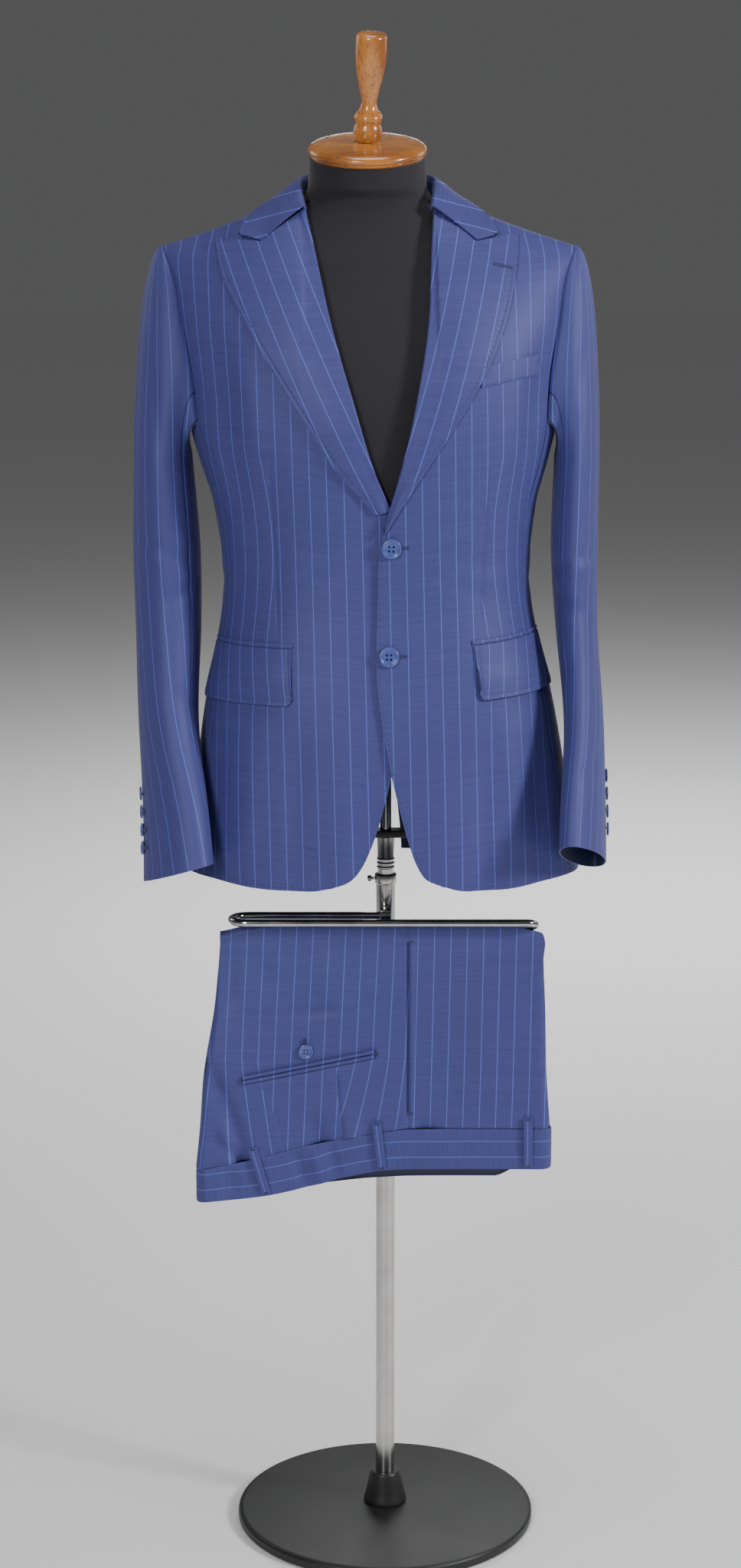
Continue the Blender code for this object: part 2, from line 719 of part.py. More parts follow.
def armhole_point(side, turn):
    """The armhole seam, with turn 0 at the shoulder tip, 0.25 in front, 0.5 under the arm and 0.75 behind."""
    turn %= 1.0
    if turn < 0.40 or turn > 0.60:
        back = turn > 0.5
        share = math.sin(math.pi / 2 * (1 - (1 - turn if back else turn) / 0.40))
        z = mix(ARMPIT_Z, SHOULDER_TIP_Z, share)
        return upper_point(side, read(ARMHOLE, z), share, back)
    across = (turn - 0.40) / 0.20
    return side_surface(side, across, 1.0)


def sleeve_ring(rows, side, turn, z):
    """A point of the hanging sleeve at a height, before its cuff's slant."""
    centre_x, centre_y, thin, deep, oval_turn, slant, rise = (read(rows, z, n) for n in range(1, 8))
    angle = 2 * math.pi * turn
    tilt = math.radians(oval_turn)
    forward = Vector((-side * math.sin(tilt), -math.cos(tilt), 0))
    outward = Vector((side * math.cos(tilt), -math.sin(tilt), 0))
    offset = outward * thin * math.cos(angle) + forward * deep * math.sin(angle)
    return Vector((centre_x, centre_y, z - slant * offset.y - side * rise * offset.x)) + offset


CAP_SHARE = 0.30


def sleeve_surface(side, turn, v):
    """A sleeve, from the armhole seam at v 0 to the cuff at v 1."""
    rows = LEFT_SLEEVE if side > 0 else RIGHT_SLEEVE
    top = rows[-1][0]
    if v >= CAP_SHARE:
        z = mix(top, rows[0][0], (v - CAP_SHARE) / (1 - CAP_SHARE))
        return sleeve_ring(rows, side, turn, z)
    share = v / CAP_SHARE
    start = armhole_point(side, turn) + Vector((side * 0.0008, 0, 0))
    end = sleeve_ring(rows, side, turn, top)
    over = (1 + math.cos(2 * math.pi * turn)) / 2
    leave = Vector((side * mix(0.030, 0.085, over), 0, mix(-0.01, 0.012, over)))
    leave.y = -0.030 * math.sin(2 * math.pi * turn)
    arrive = Vector((0, 0, -mix(0.035, 0.12, over)))
    square, cube = share**2, share**3
    return (
        start * (2 * cube - 3 * square + 1)
        + leave * (cube - 2 * square + share)
        + end * (3 * square - 2 * cube)
        + arrive * (cube - square)
    )


def build_sleeves():
    gap = 0.0012
    for side, name in ((1, "left"), (-1, "right")):
        spans = (
            ("top", SLEEVE_BACK_SEAM + gap, SLEEVE_FRONT_SEAM - gap, 11),
            ("under", SLEEVE_FRONT_SEAM + gap, 1 + SLEEVE_BACK_SEAM - gap, 9),
        )
        for part, start, end, columns in spans:

            def surface(u, v, s=side, a=start, b=end):
                return sleeve_surface(s, mix(a, b, u), v)

            cloth_wall(f"sleeve_{name}_{part}", surface, columns, 17, SLEEVE_WALL, side)


# Buttons


def build_button(name, centre, facing, radius, sides=12):
    """A button: a turned disc with a raised rim, its back at centre and its face along facing."""
    profile = (
        (0.0, radius * 0.85),
        (radius * 0.14, radius),
        (radius * 0.30, radius * 0.93),
        (radius * 0.20, radius * 0.68),
    )
    turn = Vector((0, 0, 1)).rotation_difference(facing).to_matrix().to_4x4()
    turned_solid(name, profile, Matrix.Translation(centre) @ turn, "button", sides)


def build_jacket_buttons():
    for number, (x, z) in enumerate(FRONT_BUTTONS, 1):
        normal = chest_normal(x, z)
        build_button(f"front_button_{number}", chest_point(x, z) + normal * 0.0006, normal, FRONT_BUTTON_RADIUS)
    for side, name in ((1, "left"), (-1, "right")):
        rows = LEFT_SLEEVE if side > 0 else RIGHT_SLEEVE
        for number in range(CUFF_BUTTONS):
            z = rows[0][0] + 0.032 + number * CUFF_BUTTON_PITCH
            turn = SLEEVE_BACK_SEAM + CUFF_BUTTON_TURNS[side]
            here = sleeve_ring(rows, side, turn, z)
            across = sleeve_ring(rows, side, turn + 0.01, z) - here
            along = sleeve_ring(rows, side, turn, z + 0.01) - here
            normal = (along.cross(across) * side).normalized()
            build_button(f"cuff_button_{name}_{number + 1}", here + normal * 0.0006, normal, CUFF_BUTTON_RADIUS, 9)


# Dress form and stand


def form_ring(z, steps=7):
    """A level ring of the dress form, a little inside the jacket, counter-clockwise seen from above."""
    base_half = read(BODY, min(z, ARMPIT_Z), 1) - FORM_CLEARANCE - 0.002
    ridge = FORM_SHOULDER[-1][0]
    while ridge > FORM_SHOULDER[1][0] and read(FORM_SHOULDER, ridge) < z:
        ridge -= 0.0005
    armhole = read(ARMHOLE, z) - FORM_CLEARANCE
    half = min(mix(base_half, armhole, smooth_step(ARMPIT_Z, ARMPIT_Z + 0.05, z)), ridge)

    def depth(out, back):
        if z <= ARMPIT_Z:
            full = read(BODY, z, 3 if back else 2) * section_depth(out / read(BODY, z, 1))
            y = full if back else -full
        else:
            share = min((z - ARMPIT_Z) / (read(FORM_SHOULDER, out) - ARMPIT_Z), 1.0)
            y = upper_point(1, out, share, back).y
        thin = mix(FORM_CLEARANCE, 0.0056, smooth_step(1.38, 1.415, z))
        if out < NECK_HALF:
            thin = max(thin, 0.008)
        inset = y - thin if back else y + thin
        return max(inset, SHOULDER_Y + 0.0012) if back else min(inset, SHOULDER_Y - 0.0012)

    centre = middle_x(z)
    reach = half * 0.999
    shares = [math.sin(math.pi / 2 * n / steps) for n in range(steps + 1)]
    front = [(reach * share, depth(reach * share, False)) for share in shares]
    back = [(reach * share, depth(reach * share, True)) for share in shares]
    edge = [(half, mix(front[-1][1], back[-1][1], n / 3)) for n in (1, 2)]
    right = front + edge + back[::-1]
    left = [(-out, y) for out, y in right[::-1]][1:-1]
    return [Vector((centre + out, y, z)) for out, y in right + left]


def neck_ring(template, z, tilt):
    """A ring of the neck with as many points as template, sloping down to the front by tilt."""
    centre = middle_x(1.49)
    ring = []
    for point in template:
        angle = math.atan2(point.x - middle_x(point.z), -(point.y - 0.0))
        x = FORM_NECK_HALF * math.sin(angle)
        y = -FORM_NECK_DEPTH * math.cos(angle)
        ring.append(Vector((centre + x, y, z + y * math.tan(tilt))))
    return ring


def build_form():
    heights = [0.905, 0.945, 0.985, 1.025, 1.065, 1.105, 1.145, 1.185, 1.235, 1.285, 1.325, 1.360]
    heights += [1.385, 1.402, 1.4115, 1.424, 1.438, 1.450, 1.4585]
    rings = [form_ring(z) for z in heights]
    neck = rings[-1]
    rings.append(neck_ring(neck, 1.4660, 0.0))
    rings.append(neck_ring(neck, 1.4820, NECK_TILT * 0.4))
    rings.append(neck_ring(neck, NECK_TOP_Z, NECK_TILT))
    lofted_solid("dress_form", rings, "form_cover")


def cap_place(lift):
    """The tilted frame of the neck cap, lifted along its own axis."""
    centre = Vector((middle_x(1.49), 0.0, NECK_TOP_Z))
    tilt = Matrix.Rotation(NECK_TILT, 4, "X")
    return Matrix.Translation(centre) @ tilt @ Matrix.Translation((0, 0, lift))


def build_cap_and_finial():
    gap = 0.0004
    radius, thick = CAP_RADIUS, CAP_THICKNESS
    profile = (
        (0.0, radius * 0.955),
        (thick * 0.18, radius * 0.99),
        (thick * 0.40, radius),
        (thick * 0.60, radius * 0.985),
        (thick * 0.80, radius * 0.93),
        (thick * 0.93, radius * 0.75),
        (thick * 1.00, radius * 0.45),
    )
    turned_solid("neck_cap", profile, cap_place(gap), "turned_wood", sides=28)
    lean = Matrix.Rotation(FINIAL_LEAN, 4, "Y")
    foot = 0.0004
    turned_solid("finial", FINIAL, cap_place(gap + thick + foot + 0.0005) @ lean, "turned_wood", sides=14)


def build_stand():
    upright = Matrix.Identity(4)
    base = (
        (0.0, BASE_RADIUS - 0.002),
        (0.002, BASE_RADIUS),
        (BASE_THICKNESS - 0.003, BASE_RADIUS),
        (BASE_THICKNESS, BASE_RADIUS - 0.004),
        (BASE_THICKNESS + 0.004, 0.060),
    )
    turned_solid("stand_base", base, upright, "black_metal", sides=32)
    socket_foot = base[-1][0] + 0.0003
    socket = (
        (socket_foot, 0.0240),
        (socket_foot + 0.0040, 0.0236),
        (socket_foot + 0.0360, 0.0165),
    )
    turned_solid("stand_socket", socket, upright, "black_metal", sides=20)
    tube_foot = socket[-1][0] + 0.0003
    lower = ((tube_foot, LOWER_TUBE_RADIUS), (TUBE_TOP_Z - 0.0003, LOWER_TUBE_RADIUS))
    turned_solid("stand_lower_tube", lower, upright, "chrome", sides=20)
    collar_radius = LOWER_TUBE_RADIUS + 0.0016
    collar = (
        (TUBE_TOP_Z, collar_radius - 0.0006),
        (TUBE_TOP_Z + 0.001, collar_radius),
        (TUBE_TOP_Z + 0.010, collar_radius),
        (TUBE_TOP_Z + 0.011, collar_radius - 0.0006),
    )
    turned_solid("stand_clamp", collar, upright, "chrome", sides=20)
    foot = TUBE_TOP_Z + 0.0113
    upper = [(foot, UPPER_TUBE_RADIUS)]
    for ring in range(3):
        low = 0.7500 + ring * 0.0045
        ridge = UPPER_TUBE_RADIUS + 0.0007
        upper += [(low, UPPER_TUBE_RADIUS), (low + 0.0006, ridge), (low + 0.0022, ridge)]
        upper += [(low + 0.0028, UPPER_TUBE_RADIUS)]
    upper.append((CROSSBAR_Z - 0.0043, UPPER_TUBE_RADIUS))
    turned_solid("stand_upper_tube", upper, upright, "chrome", sides=14)
    rod = ((CROSSBAR_Z + 0.0043, ROD_RADIUS), (FORM_BOTTOM_Z - 0.0003, ROD_RADIUS))
    turned_solid("stand_rod", rod, upright, "chrome", sides=16)
    half, deep, high = CROSSBAR_HALF, 0.010, 0.004
    bar = [
        [Vector((x, y, CROSSBAR_Z + z)) for y, z in ((-deep, -high), (-deep, high), (deep, high), (deep, -high))]
        for x in (half, -half)
    ]
    lofted_solid("crossbar", bar, "black_metal", smooth=False)
    screw_place = Matrix.Translation((-(collar_radius + 0.0003), 0, TUBE_TOP_Z + 0.0055))
    screw_place = screw_place @ Matrix.Rotation(-math.pi / 2, 4, "Y")
    screw = ((0.0, 0.0016), (0.003, 0.0016), (0.0033, 0.0034), (0.0070, 0.0034), (0.0076, 0.0024))
    turned_solid("clamp_screw", screw, screw_place, "chrome", sides=12)


def arc_points(centre, first, second, start, end, steps):
    """Points on an arc in the plane of two perpendicular radius vectors."""
    angles = (mix(start, end, n / steps) for n in range(steps + 1))
    return [centre + first * math.cos(a) + second * math.sin(a) for a in angles]


def build_trouser_bar():
    """One rod: from its lug on the pole to the left, back along the front, and round into the lower rail."""
    bend = (BAR_BACK_Y - BAR_FRONT_Y) / 2
    lug = Vector((-(LUG_HALF_WIDTH + 0.0003), BAR_BACK_Y, BAR_Z))
    points = [lug, Vector((BAR_LEFT_X + bend, BAR_BACK_Y, BAR_Z))]
    turn_centre = Vector((BAR_LEFT_X + bend, (BAR_BACK_Y + BAR_FRONT_Y) / 2, BAR_Z))
    points += arc_points(turn_centre, Vector((0, bend, 0)), Vector((-bend, 0, 0)), 0.35, math.pi, 8)
    front_end = Vector((BAR_RIGHT_X - 0.010, BAR_FRONT_Y, BAR_Z))
    lower_start = Vector((BAR_RIGHT_X - 0.010, LOWER_BAR_Y, LOWER_BAR_Z))
    half = (lower_start - front_end) / 2
    points.append(Vector((0.0, BAR_FRONT_Y, BAR_Z)))
    reach = Vector((half.length, 0, 0))
    points += arc_points(front_end + half, -half, reach, 0.0, math.pi, 8)
    points.append(Vector((LOWER_BAR_END_X, LOWER_BAR_Y, LOWER_BAR_Z)))
    curve = bpy.data.curves.new("trouser_bar", "CURVE")
    curve.dimensions = "3D"
    spline = curve.splines.new("POLY")
    spline.points.add(len(points) - 1)
    for place, point in zip(spline.points, points):
        place.co = (*point, 1.0)
    curve.bevel_depth = BAR_RADIUS
    curve.bevel_resolution = 2
    curve.use_fill_caps = True
    curve.materials.append(material("chrome"))
    made = bpy.data.objects.new("trouser_bar", curve)
    bpy.context.scene.collection.objects.link(made)


def build_bar_lug():
    """The lug on the pole's front that the bar's end sits in."""
    near, far = -(LOWER_TUBE_RADIUS + 0.0003), BAR_BACK_Y - LUG_HALF_WIDTH
    half_wide, half_high = LUG_HALF_WIDTH, LUG_HALF_HEIGHT
    rings = []
    for y in (far, near):
        rings.append(
            [
                Vector((x, y, BAR_Z + z))
                for x, z in (
                    (-half_wide, -half_high),
                    (half_wide, -half_high),
                    (half_wide, half_high),
                    (-half_wide, half_high),
                )
            ]
        )
    lofted_solid("bar_lug", rings[::-1], "chrome", smooth=False)


# Trousers


def trouser_edge_curl(x, left, right):
    """How far the cloth curls back near the folded side edges."""
    width = 0.009
    near = min(x - left, right - x)
    if near >= width:
        return 0.0
    share = 1 - max(near, 0.0) / width
    return 1 - math.sqrt(1 - share**2)


def fold_sag(x):
    """How far the fold's top lies below its height on the lower rail."""
    return OPEN_END_SAG * smooth_step(LOWER_BAR_END_X - 0.001, LOWER_BAR_END_X - 0.066, x)


def trouser_surface(layer, start_x, end_x, u, v):
    """A trouser panel from the waist seam at v 0, up and over the lower rail at v 1. Layer 0 shows, layer 1 is behind."""
    radius = BAR_RADIUS + (OUTER_FOLD_GAP if layer == 0 else INNER_FOLD_GAP)
    row = v * (HANGING_ROWS + CORNER_ROWS + FOLD_ROWS)
    guess = mix(max(start_x, TROUSER_SECTIONS[0][1]), min(end_x, TROUSER_SECTIONS[0][2]), u)
    bottom = read(WAISTBAND, guess, 2) + WAIST_SEAM_GAP
    corner = CORNER_Z - 0.004 * layer
    if row <= HANGING_ROWS:
        z = mix(bottom, corner, row / HANGING_ROWS)
    else:
        z = mix(corner, LOWER_BAR_Z, min((row - HANGING_ROWS) / CORNER_ROWS, 1.0))
    _, left, right, front, back = (read(TROUSER_SECTIONS, z, column) for column in range(5))
    x = mix(max(start_x, left), min(end_x, right), u)
    lowered = z - fold_sag(x) * smooth_step(0.56, LOWER_BAR_Z, z)
    turned = row - HANGING_ROWS - CORNER_ROWS
    if turned > 0:
        angle = math.pi * 0.94 * turned / FOLD_ROWS
        return Vector((x, LOWER_BAR_Y - radius * math.cos(angle), lowered + radius * math.sin(angle)))
    face, inset = (front, 0.0012) if layer == 0 else (back, -0.0012)
    curl = trouser_edge_curl(x, left, right) * smooth_step(CORNER_Z, CORNER_Z - 0.06, z)
    return Vector((x, mix(face, (front + back) / 2 - inset, curl), lowered))


def waistband_surface(u, v):
    """The waistband, a flat loop: u runs round it from the left end along the front layer, v from bottom to top."""
    left, right = WAISTBAND[0][0], WAISTBAND[-1][0]
    front, back = WAISTBAND_FRONT_Y, WAISTBAND_BACK_Y
    radius = (back - front) / 2
    straight = right - left - 2 * radius
    total = 2 * straight + 2 * math.pi * radius
    travel = (u % 1.0) * total
    middle = (front + back) / 2
    if travel < straight:
        x, y, behind = left + radius + travel, front, 0.0
    elif travel < straight + math.pi * radius:
        angle = (travel - straight) / radius
        x, y = right - radius + radius * math.sin(angle), middle - radius * math.cos(angle)
        behind = (1 - math.cos(angle)) / 2
    elif travel < 2 * straight + math.pi * radius:
        x, y, behind = right - radius - (travel - straight - math.pi * radius), back, 1.0
    else:
        angle = (travel - 2 * straight - math.pi * radius) / radius
        x, y = left + radius - radius * math.sin(angle), middle + radius * math.cos(angle)
        behind = (1 + math.cos(angle)) / 2
    low, high = read(WAISTBAND, x, 1), read(WAISTBAND, x, 2)
    sag = BACK_SAG * behind * smooth_step(-0.150, 0.010, x) * smooth_step(0.155, 0.118, x)
    return Vector((x, y, mix(low - sag, high, v)))


def belt_loop_surface(top_x, low_x, u, v):
    """A belt loop: a strip over the waistband, folded in at its ends."""
    x = mix(low_x, top_x, v) + (u - 0.5) * 2 * LOOP_HALF_WIDTH
    low, high = read(WAISTBAND, x, 1) + 0.002, read(WAISTBAND, x, 2) + LOOP_RISE
    lift = 0.0019 + 0.0016 * math.sin(math.pi * v)
    return Vector((x, WAISTBAND_FRONT_Y - lift, mix(low, high, v)))


def trouser_front_y(z):
    return read(TROUSER_SECTIONS, z, 3)


def pocket_jet_surface(offset, u, v):
    """One jet of the back pocket."""
    x0, z0, x1, z1 = BACK_POCKET
    z = mix(z0, z1, u) + offset + 0.0042 * v
    return Vector((mix(x0, x1, u), trouser_front_y(z) - 0.0018, z))


def build_trousers():
    left, right = -1.0, 1.0
    seam = SIDE_SEAM_X
    panels = (
        ("trouser_back_left", 0, left, seam - SEAM_GAP / 2, 12),
        ("trouser_front_left", 0, seam + SEAM_GAP / 2, right, 9),
        ("trouser_back_right", 1, left, seam - SEAM_GAP / 2, 8),
        ("trouser_front_right", 1, seam + SEAM_GAP / 2, right, 7),
    )
    for name, layer, start, end, columns in panels:

        def surface(u, v, a=start, b=end, k=layer):
            return trouser_surface(k, a, b, u, v)

        rows = HANGING_ROWS + CORNER_ROWS + FOLD_ROWS
        cloth_wall(name, surface, columns, rows, TROUSER_WALL, 1 if layer == 0 else -1)


def build_waistband():
    cloth_wall("waistband", waistband_surface, 44, 2, WAISTBAND_WALL, 1, closed=True)
    for number, (top_x, low_x) in enumerate(BELT_LOOPS, 1):

        def surface(u, v, a=top_x, b=low_x):
            return belt_loop_surface(a, b, u, v)

        cloth_wall(f"belt_loop_{number}", surface, 1, 5, 0.0012, 1)


def build_back_pocket():
    for name, offset in (("lower", -0.0046), ("upper", 0.0004)):
        cloth_wall(f"back_pocket_jet_{name}", lambda u, v, o=offset: pocket_jet_surface(o, u, v), 6, 1, 0.0010, 1)
    x, z = POCKET_BUTTON
    build_button(
        "pocket_button", Vector((x, trouser_front_y(z) - 0.0010, z)), Vector((0, -1, 0)), POCKET_BUTTON_RADIUS
    )


def build_leg_stack():
    """The legs, folded up in three runs behind the waist: one rounded solid whose side edges show the folds."""
    rings = []
    places = [Vector((0, row[2], row[3])) for row in LEG_FOLDS]
    for n, (left, right, y, z, thick) in enumerate(LEG_FOLDS):
        before, after = places[max(n - 1, 0)], places[min(n + 1, len(places) - 1)]
        way = (after - before).normalized()
        across = Vector((0, -way.z, way.y))
        half = thick / 2
        round_in = min(0.004, half * 1.4)
        outline = (
            (left, 0.0), (left + round_in * 0.3, 0.7), (left + round_in, 1.0),
            (right - round_in, 1.0), (right - round_in * 0.3, 0.7),
            (right, 0.0), (right - round_in * 0.3, -0.7), (right - round_in, -1.0),
            (left + round_in, -1.0), (left + round_in * 0.3, -0.7),
        )
        rings.append([Vector((x, y, z)) + across * half * share for x, share in outline])
    lofted_solid("trouser_legs_folded", rings, "suit_cloth")


def main():
    clear_scene()
    build_body()
    build_lapels_and_collar()
    build_jacket_pockets()
    build_sleeves()
    build_jacket_buttons()
    build_form()
    build_cap_and_finial()
    build_stand()
    build_trouser_bar()
    build_bar_lug()
    build_trousers()
    build_waistband()
    build_back_pocket()
    build_leg_stack()


main()
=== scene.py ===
"""The looks of a pinstripe suit on a dress form: fine cloth, sewing, buttons, turned wood and metal.

Metres, +Z up. The jacket's front faces -Y, so +X is the wearer's left. The cloth's own surfaces are worked
out here from the same sizes as the solids, on finer grids, with seams, darts and soft creases pressed in.
"""

import math
from functools import partial

import bpy
import numpy as np
from mathutils import Matrix, Vector


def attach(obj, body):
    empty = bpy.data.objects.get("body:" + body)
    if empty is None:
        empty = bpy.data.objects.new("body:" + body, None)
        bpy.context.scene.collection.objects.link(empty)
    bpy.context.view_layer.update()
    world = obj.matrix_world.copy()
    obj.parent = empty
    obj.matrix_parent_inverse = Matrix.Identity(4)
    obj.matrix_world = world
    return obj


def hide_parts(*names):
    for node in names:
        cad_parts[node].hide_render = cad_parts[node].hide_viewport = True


# The wearer's sides: sign of x, name
SIDES = ((1, "left"), (-1, "right"))

# Camera, as the photograph was taken
CAMERA_PLACE = (-0.0165, -3.0, 1.415)
CAMERA_DOWN = math.radians(10.8)
CAMERA_LENS = 64.86
CAMERA_SENSOR = 36.0

# Walls and gaps
JACKET_WALL = 0.0015
SLEEVE_WALL = 0.0014
LAPEL_WALL = 0.0016
POCKET_WALL = 0.0012
TROUSER_WALL = 0.0012
SEAM_GAP = 0.00003

# The jacket's main heights
HEM_Z = 0.745
HEM_RISE_AT_SIDE = 0.010
ARMPIT_Z = 1.235
SHOULDER_TIP_Z = 1.415
NECK_POINT_Z = 1.4685
BACK_NECK_DROP = 0.013
NECK_HALF = 0.070
SHOULDER_Y = 0.004
VENT_TOP_Z = 0.965
VENT_HALF_AT_HEM = 0.021

# The form leans a little to one side on its pole
LEAN_AT_HEM = -0.0028
LEAN_PER_METRE = -0.0227

# How square the body's level sections are, and where the side seams run on them
SQUARENESS = 2.3
SEAM_SHARE = 0.943
SIDE_SEAM_ANGLE = math.asin(SEAM_SHARE ** (SQUARENESS / 2))

# Level sections of the jacket: height, half width, front depth, back depth
BODY = (
    (0.745, 0.2136, 0.118, 0.108),
    (0.820, 0.2035, 0.121, 0.112),
    (0.900, 0.1920, 0.121, 0.112),
    (0.950, 0.1833, 0.119, 0.107),
    (1.000, 0.1722, 0.115, 0.099),
    (1.050, 0.1640, 0.112, 0.091),
    (1.100, 0.1645, 0.114, 0.090),
    (1.150, 0.1715, 0.120, 0.096),
    (1.190, 0.1835, 0.125, 0.104),
    (1.235, 0.1930, 0.127, 0.112),
    (1.300, 0.1930, 0.124, 0.120),
    (1.360, 0.1930, 0.114, 0.120),
    (1.415, 0.1930, 0.104, 0.110),
    (1.470, 0.1930, 0.100, 0.100),
)

# Armhole seam: height, distance from the body's middle line
ARMHOLE = (
    (1.235, 0.1820),
    (1.260, 0.1835),
    (1.290, 0.1870),
    (1.336, 0.1955),
    (1.375, 0.2020),
    (1.415, 0.2148),
)

# Shoulder seam: distance from the middle line, height
SHOULDER = (
    (0.000, 1.4685),
    (0.070, 1.4685),
    (0.110, 1.4515),
    (0.162, 1.4320),
    (0.2148, 1.4150),
)

# Front edges, from hem to neck: height, x. The last rows are the lapel's roll line.
TOP_FRONT_EDGE = (
    (0.7520, 0.0600),
    (0.7600, 0.0440),
    (0.7720, 0.0350),
    (0.7900, 0.0272),
    (0.8268, 0.0165),
    (0.8927, 0.0015),
    (0.9741, -0.0098),
    (1.0546, -0.0092),
    (1.1000, -0.0078),
    (1.1242, -0.0036),
    (1.1537, 0.0059),
    (1.1950, 0.0178),
    (1.2447, 0.0294),
    (1.3332, 0.0438),
    (1.4188, 0.0477),
    (1.4685, 0.0507),
)
UNDER_FRONT_EDGE = (
    (0.7500, -0.0590),
    (0.7570, -0.0420),
    (0.7680, -0.0305),
    (0.7850, -0.0205),
    (0.8177, -0.0085),
    (0.8701, 0.0049),
    (0.9300, 0.0180),
    (0.9900, 0.0250),
    (1.0900, 0.0250),
    (1.1200, 0.0170),
    (1.1556, -0.0004),
    (1.1927, -0.0159),
    (1.2551, -0.0346),
    (1.3332, -0.0575),
    (1.4207, -0.0776),
    (1.4685, -0.0893),
)
FRONT_EDGE = {1: TOP_FRONT_EDGE, -1: UNDER_FRONT_EDGE}
# How far the under front sinks where the other one covers it
UNDERLAP_DROP = 0.0034

# Lapel outer edges, from the break to the peak: height, x
TOP_LAPEL_EDGE = (
    (1.1237, -0.0020),
    (1.1448, 0.0109),
    (1.1911, 0.0409),
    (1.2429, 0.0750),
    (1.2945, 0.1035),
    (1.3499, 0.1239),
    (1.4007, 0.1334),
    (1.4249, 0.1350),
)
UNDER_LAPEL_EDGE = (
    (1.1440, -0.0120),
    (1.1717, -0.0352),
    (1.1911, -0.0524),
    (1.2368, -0.0825),
    (1.3129, -0.1298),
    (1.3499, -0.1502),
    (1.3843, -0.1680),
    (1.4207, -0.1765),
)
LAPEL_EDGE = {1: TOP_LAPEL_EDGE, -1: UNDER_LAPEL_EDGE}
# Gorge: distance from the middle line and height of the roll line's top, then of the collar's inner and
# outer corners
GORGE_TOP = (0.0655, 1.4500)
GORGE_CORNER = (0.1090, 1.4165)
COLLAR_CORNER = (0.1324, 1.4225)
GORGE_GAP = 0.0006
# How far the collar's edge and its outer corner stand off the jacket
COLLAR_LIFT, COLLAR_CORNER_LIFT = 0.0042, 0.0046
# How far across the lapel the collar's inner corner meets it
GORGE_SHARE = 0.52

# Collar, from the centre back to its front end: station, fold (out, y, z), stand foot (out, y, z),
# leaf edge (out, share over the shoulder ridge: back is positive)
COLLAR = (
    (0.00, 0.0000, 0.0690, 1.4950, 0.0000, 0.0625, 1.4620, 0.0000, 0.045),
    (0.20, 0.0310, 0.0640, 1.4945, 0.0290, 0.0580, 1.4625, 0.0400, 0.045),
    (0.40, 0.0560, 0.0430, 1.4900, 0.0525, 0.0395, 1.4655, 0.0790, 0.030),
    (0.60, 0.0700, 0.0100, 1.4835, 0.0672, 0.0090, 1.4690, 0.1050, 0.002),
    (0.80, 0.0700, -0.0240, 1.4735, 0.0675, -0.0215, 1.4640, 0.1210, -0.030),
    (1.00, 0.0665, -0.0500, 1.4540, 0.0645, -0.0455, 1.4500, 0.1324, -0.095),
)

# Sleeves, from the cuff to the upper arm: height, centre x, centre y, half thickness, half depth, turn of
# the oval in degrees, rise of its front edge per metre of depth and of its inner edge per metre of width
RIGHT_SLEEVE = (  # the viewer's left
    (0.7640, -0.2195, -0.0850, 0.0300, 0.0540, 33.0, 0.16, 0.28),
    (0.8200, -0.2230, -0.0660, 0.0300, 0.0550, 26.0, 0.15, 0.20),
    (0.9200, -0.2320, -0.0250, 0.0315, 0.0560, 12.0, 0.10, 0.06),
    (1.0200, -0.2322, -0.0030, 0.0350, 0.0580, 6.0, 0.04, 0.00),
    (1.1000, -0.2333, 0.0030, 0.0358, 0.0610, 5.0, 0.00, 0.00),
    (1.1950, -0.2360, 0.0040, 0.0312, 0.0640, 4.0, 0.00, 0.00),
)
LEFT_SLEEVE = (  # the viewer's right
    (0.7830, 0.2068, -0.0960, 0.0212, 0.0560, 19.0, 0.42, 0.00),
    (0.8300, 0.2082, -0.0780, 0.0210, 0.0570, 17.0, 0.34, 0.00),
    (0.9200, 0.2100, -0.0390, 0.0205, 0.0580, 10.0, 0.20, 0.00),
    (1.0200, 0.2030, -0.0060, 0.0225, 0.0600, 4.0, 0.06, 0.00),
    (1.1000, 0.2000, 0.0020, 0.0245, 0.0630, 3.0, 0.00, 0.00),
    (1.1950, 0.2015, 0.0040, 0.0235, 0.0650, 3.0, 0.00, 0.00),
)
SLEEVES = {1: LEFT_SLEEVE, -1: RIGHT_SLEEVE}
SLEEVE_BACK_SEAM = -0.14
SLEEVE_FRONT_SEAM = 0.36
CUFF_BUTTONS = 4
CUFF_BUTTON_PITCH = 0.0172
CUFF_BUTTON_RISE = 0.032
# How far a sleeve's top reaches in over the armhole, and half its seams' gap as a share of the way round
ARMHOLE_OVERLAP, SLEEVE_SEAM_TURN = 0.0010, 0.0006
# How far the cuff buttons lie from the back seam, as a share of the way round each sleeve
CUFF_BUTTON_TURNS = {1: 0.035, -1: 0.060}

# Flap pockets: inner angle round the body at top and bottom, outer angle, top and bottom height at each end
FLAPS = {
    1: (32.0, 31.2, 81.0, 1.0075, 1.0150, 0.9510, 0.9590),
    -1: (28.0, 25.8, 80.0, 1.0040, 1.0045, 0.9460, 0.9450),
}
JET_HEIGHT = 0.0045
# How far the flaps' jets, the breast welt and the back pocket's lips stand off the cloth's middle
JET_LIFT, WELT_LIFT, LIP_LIFT = 0.0018, 0.0016, 0.0018
FLAP_CORNER = 0.006

# Breast pocket welt: x of its ends, heights of its lower edge at each end, height of the welt
BREAST_WELT = (0.0955, 0.1560, 1.2725, 1.2845, 0.0205)

# Buttons: x, height
FRONT_BUTTONS = ((0.0048, 1.1096), (0.0026, 0.9975))
FRONT_BUTTON_RADIUS = 0.0107
CUFF_BUTTON_RADIUS = 0.0074
POCKET_BUTTON_RADIUS = 0.0082
# How far the buttons and their buttonholes stand off the cloth's middle
BUTTON_LIFT, BUTTONHOLE_LIFT = 0.0006, 0.0004

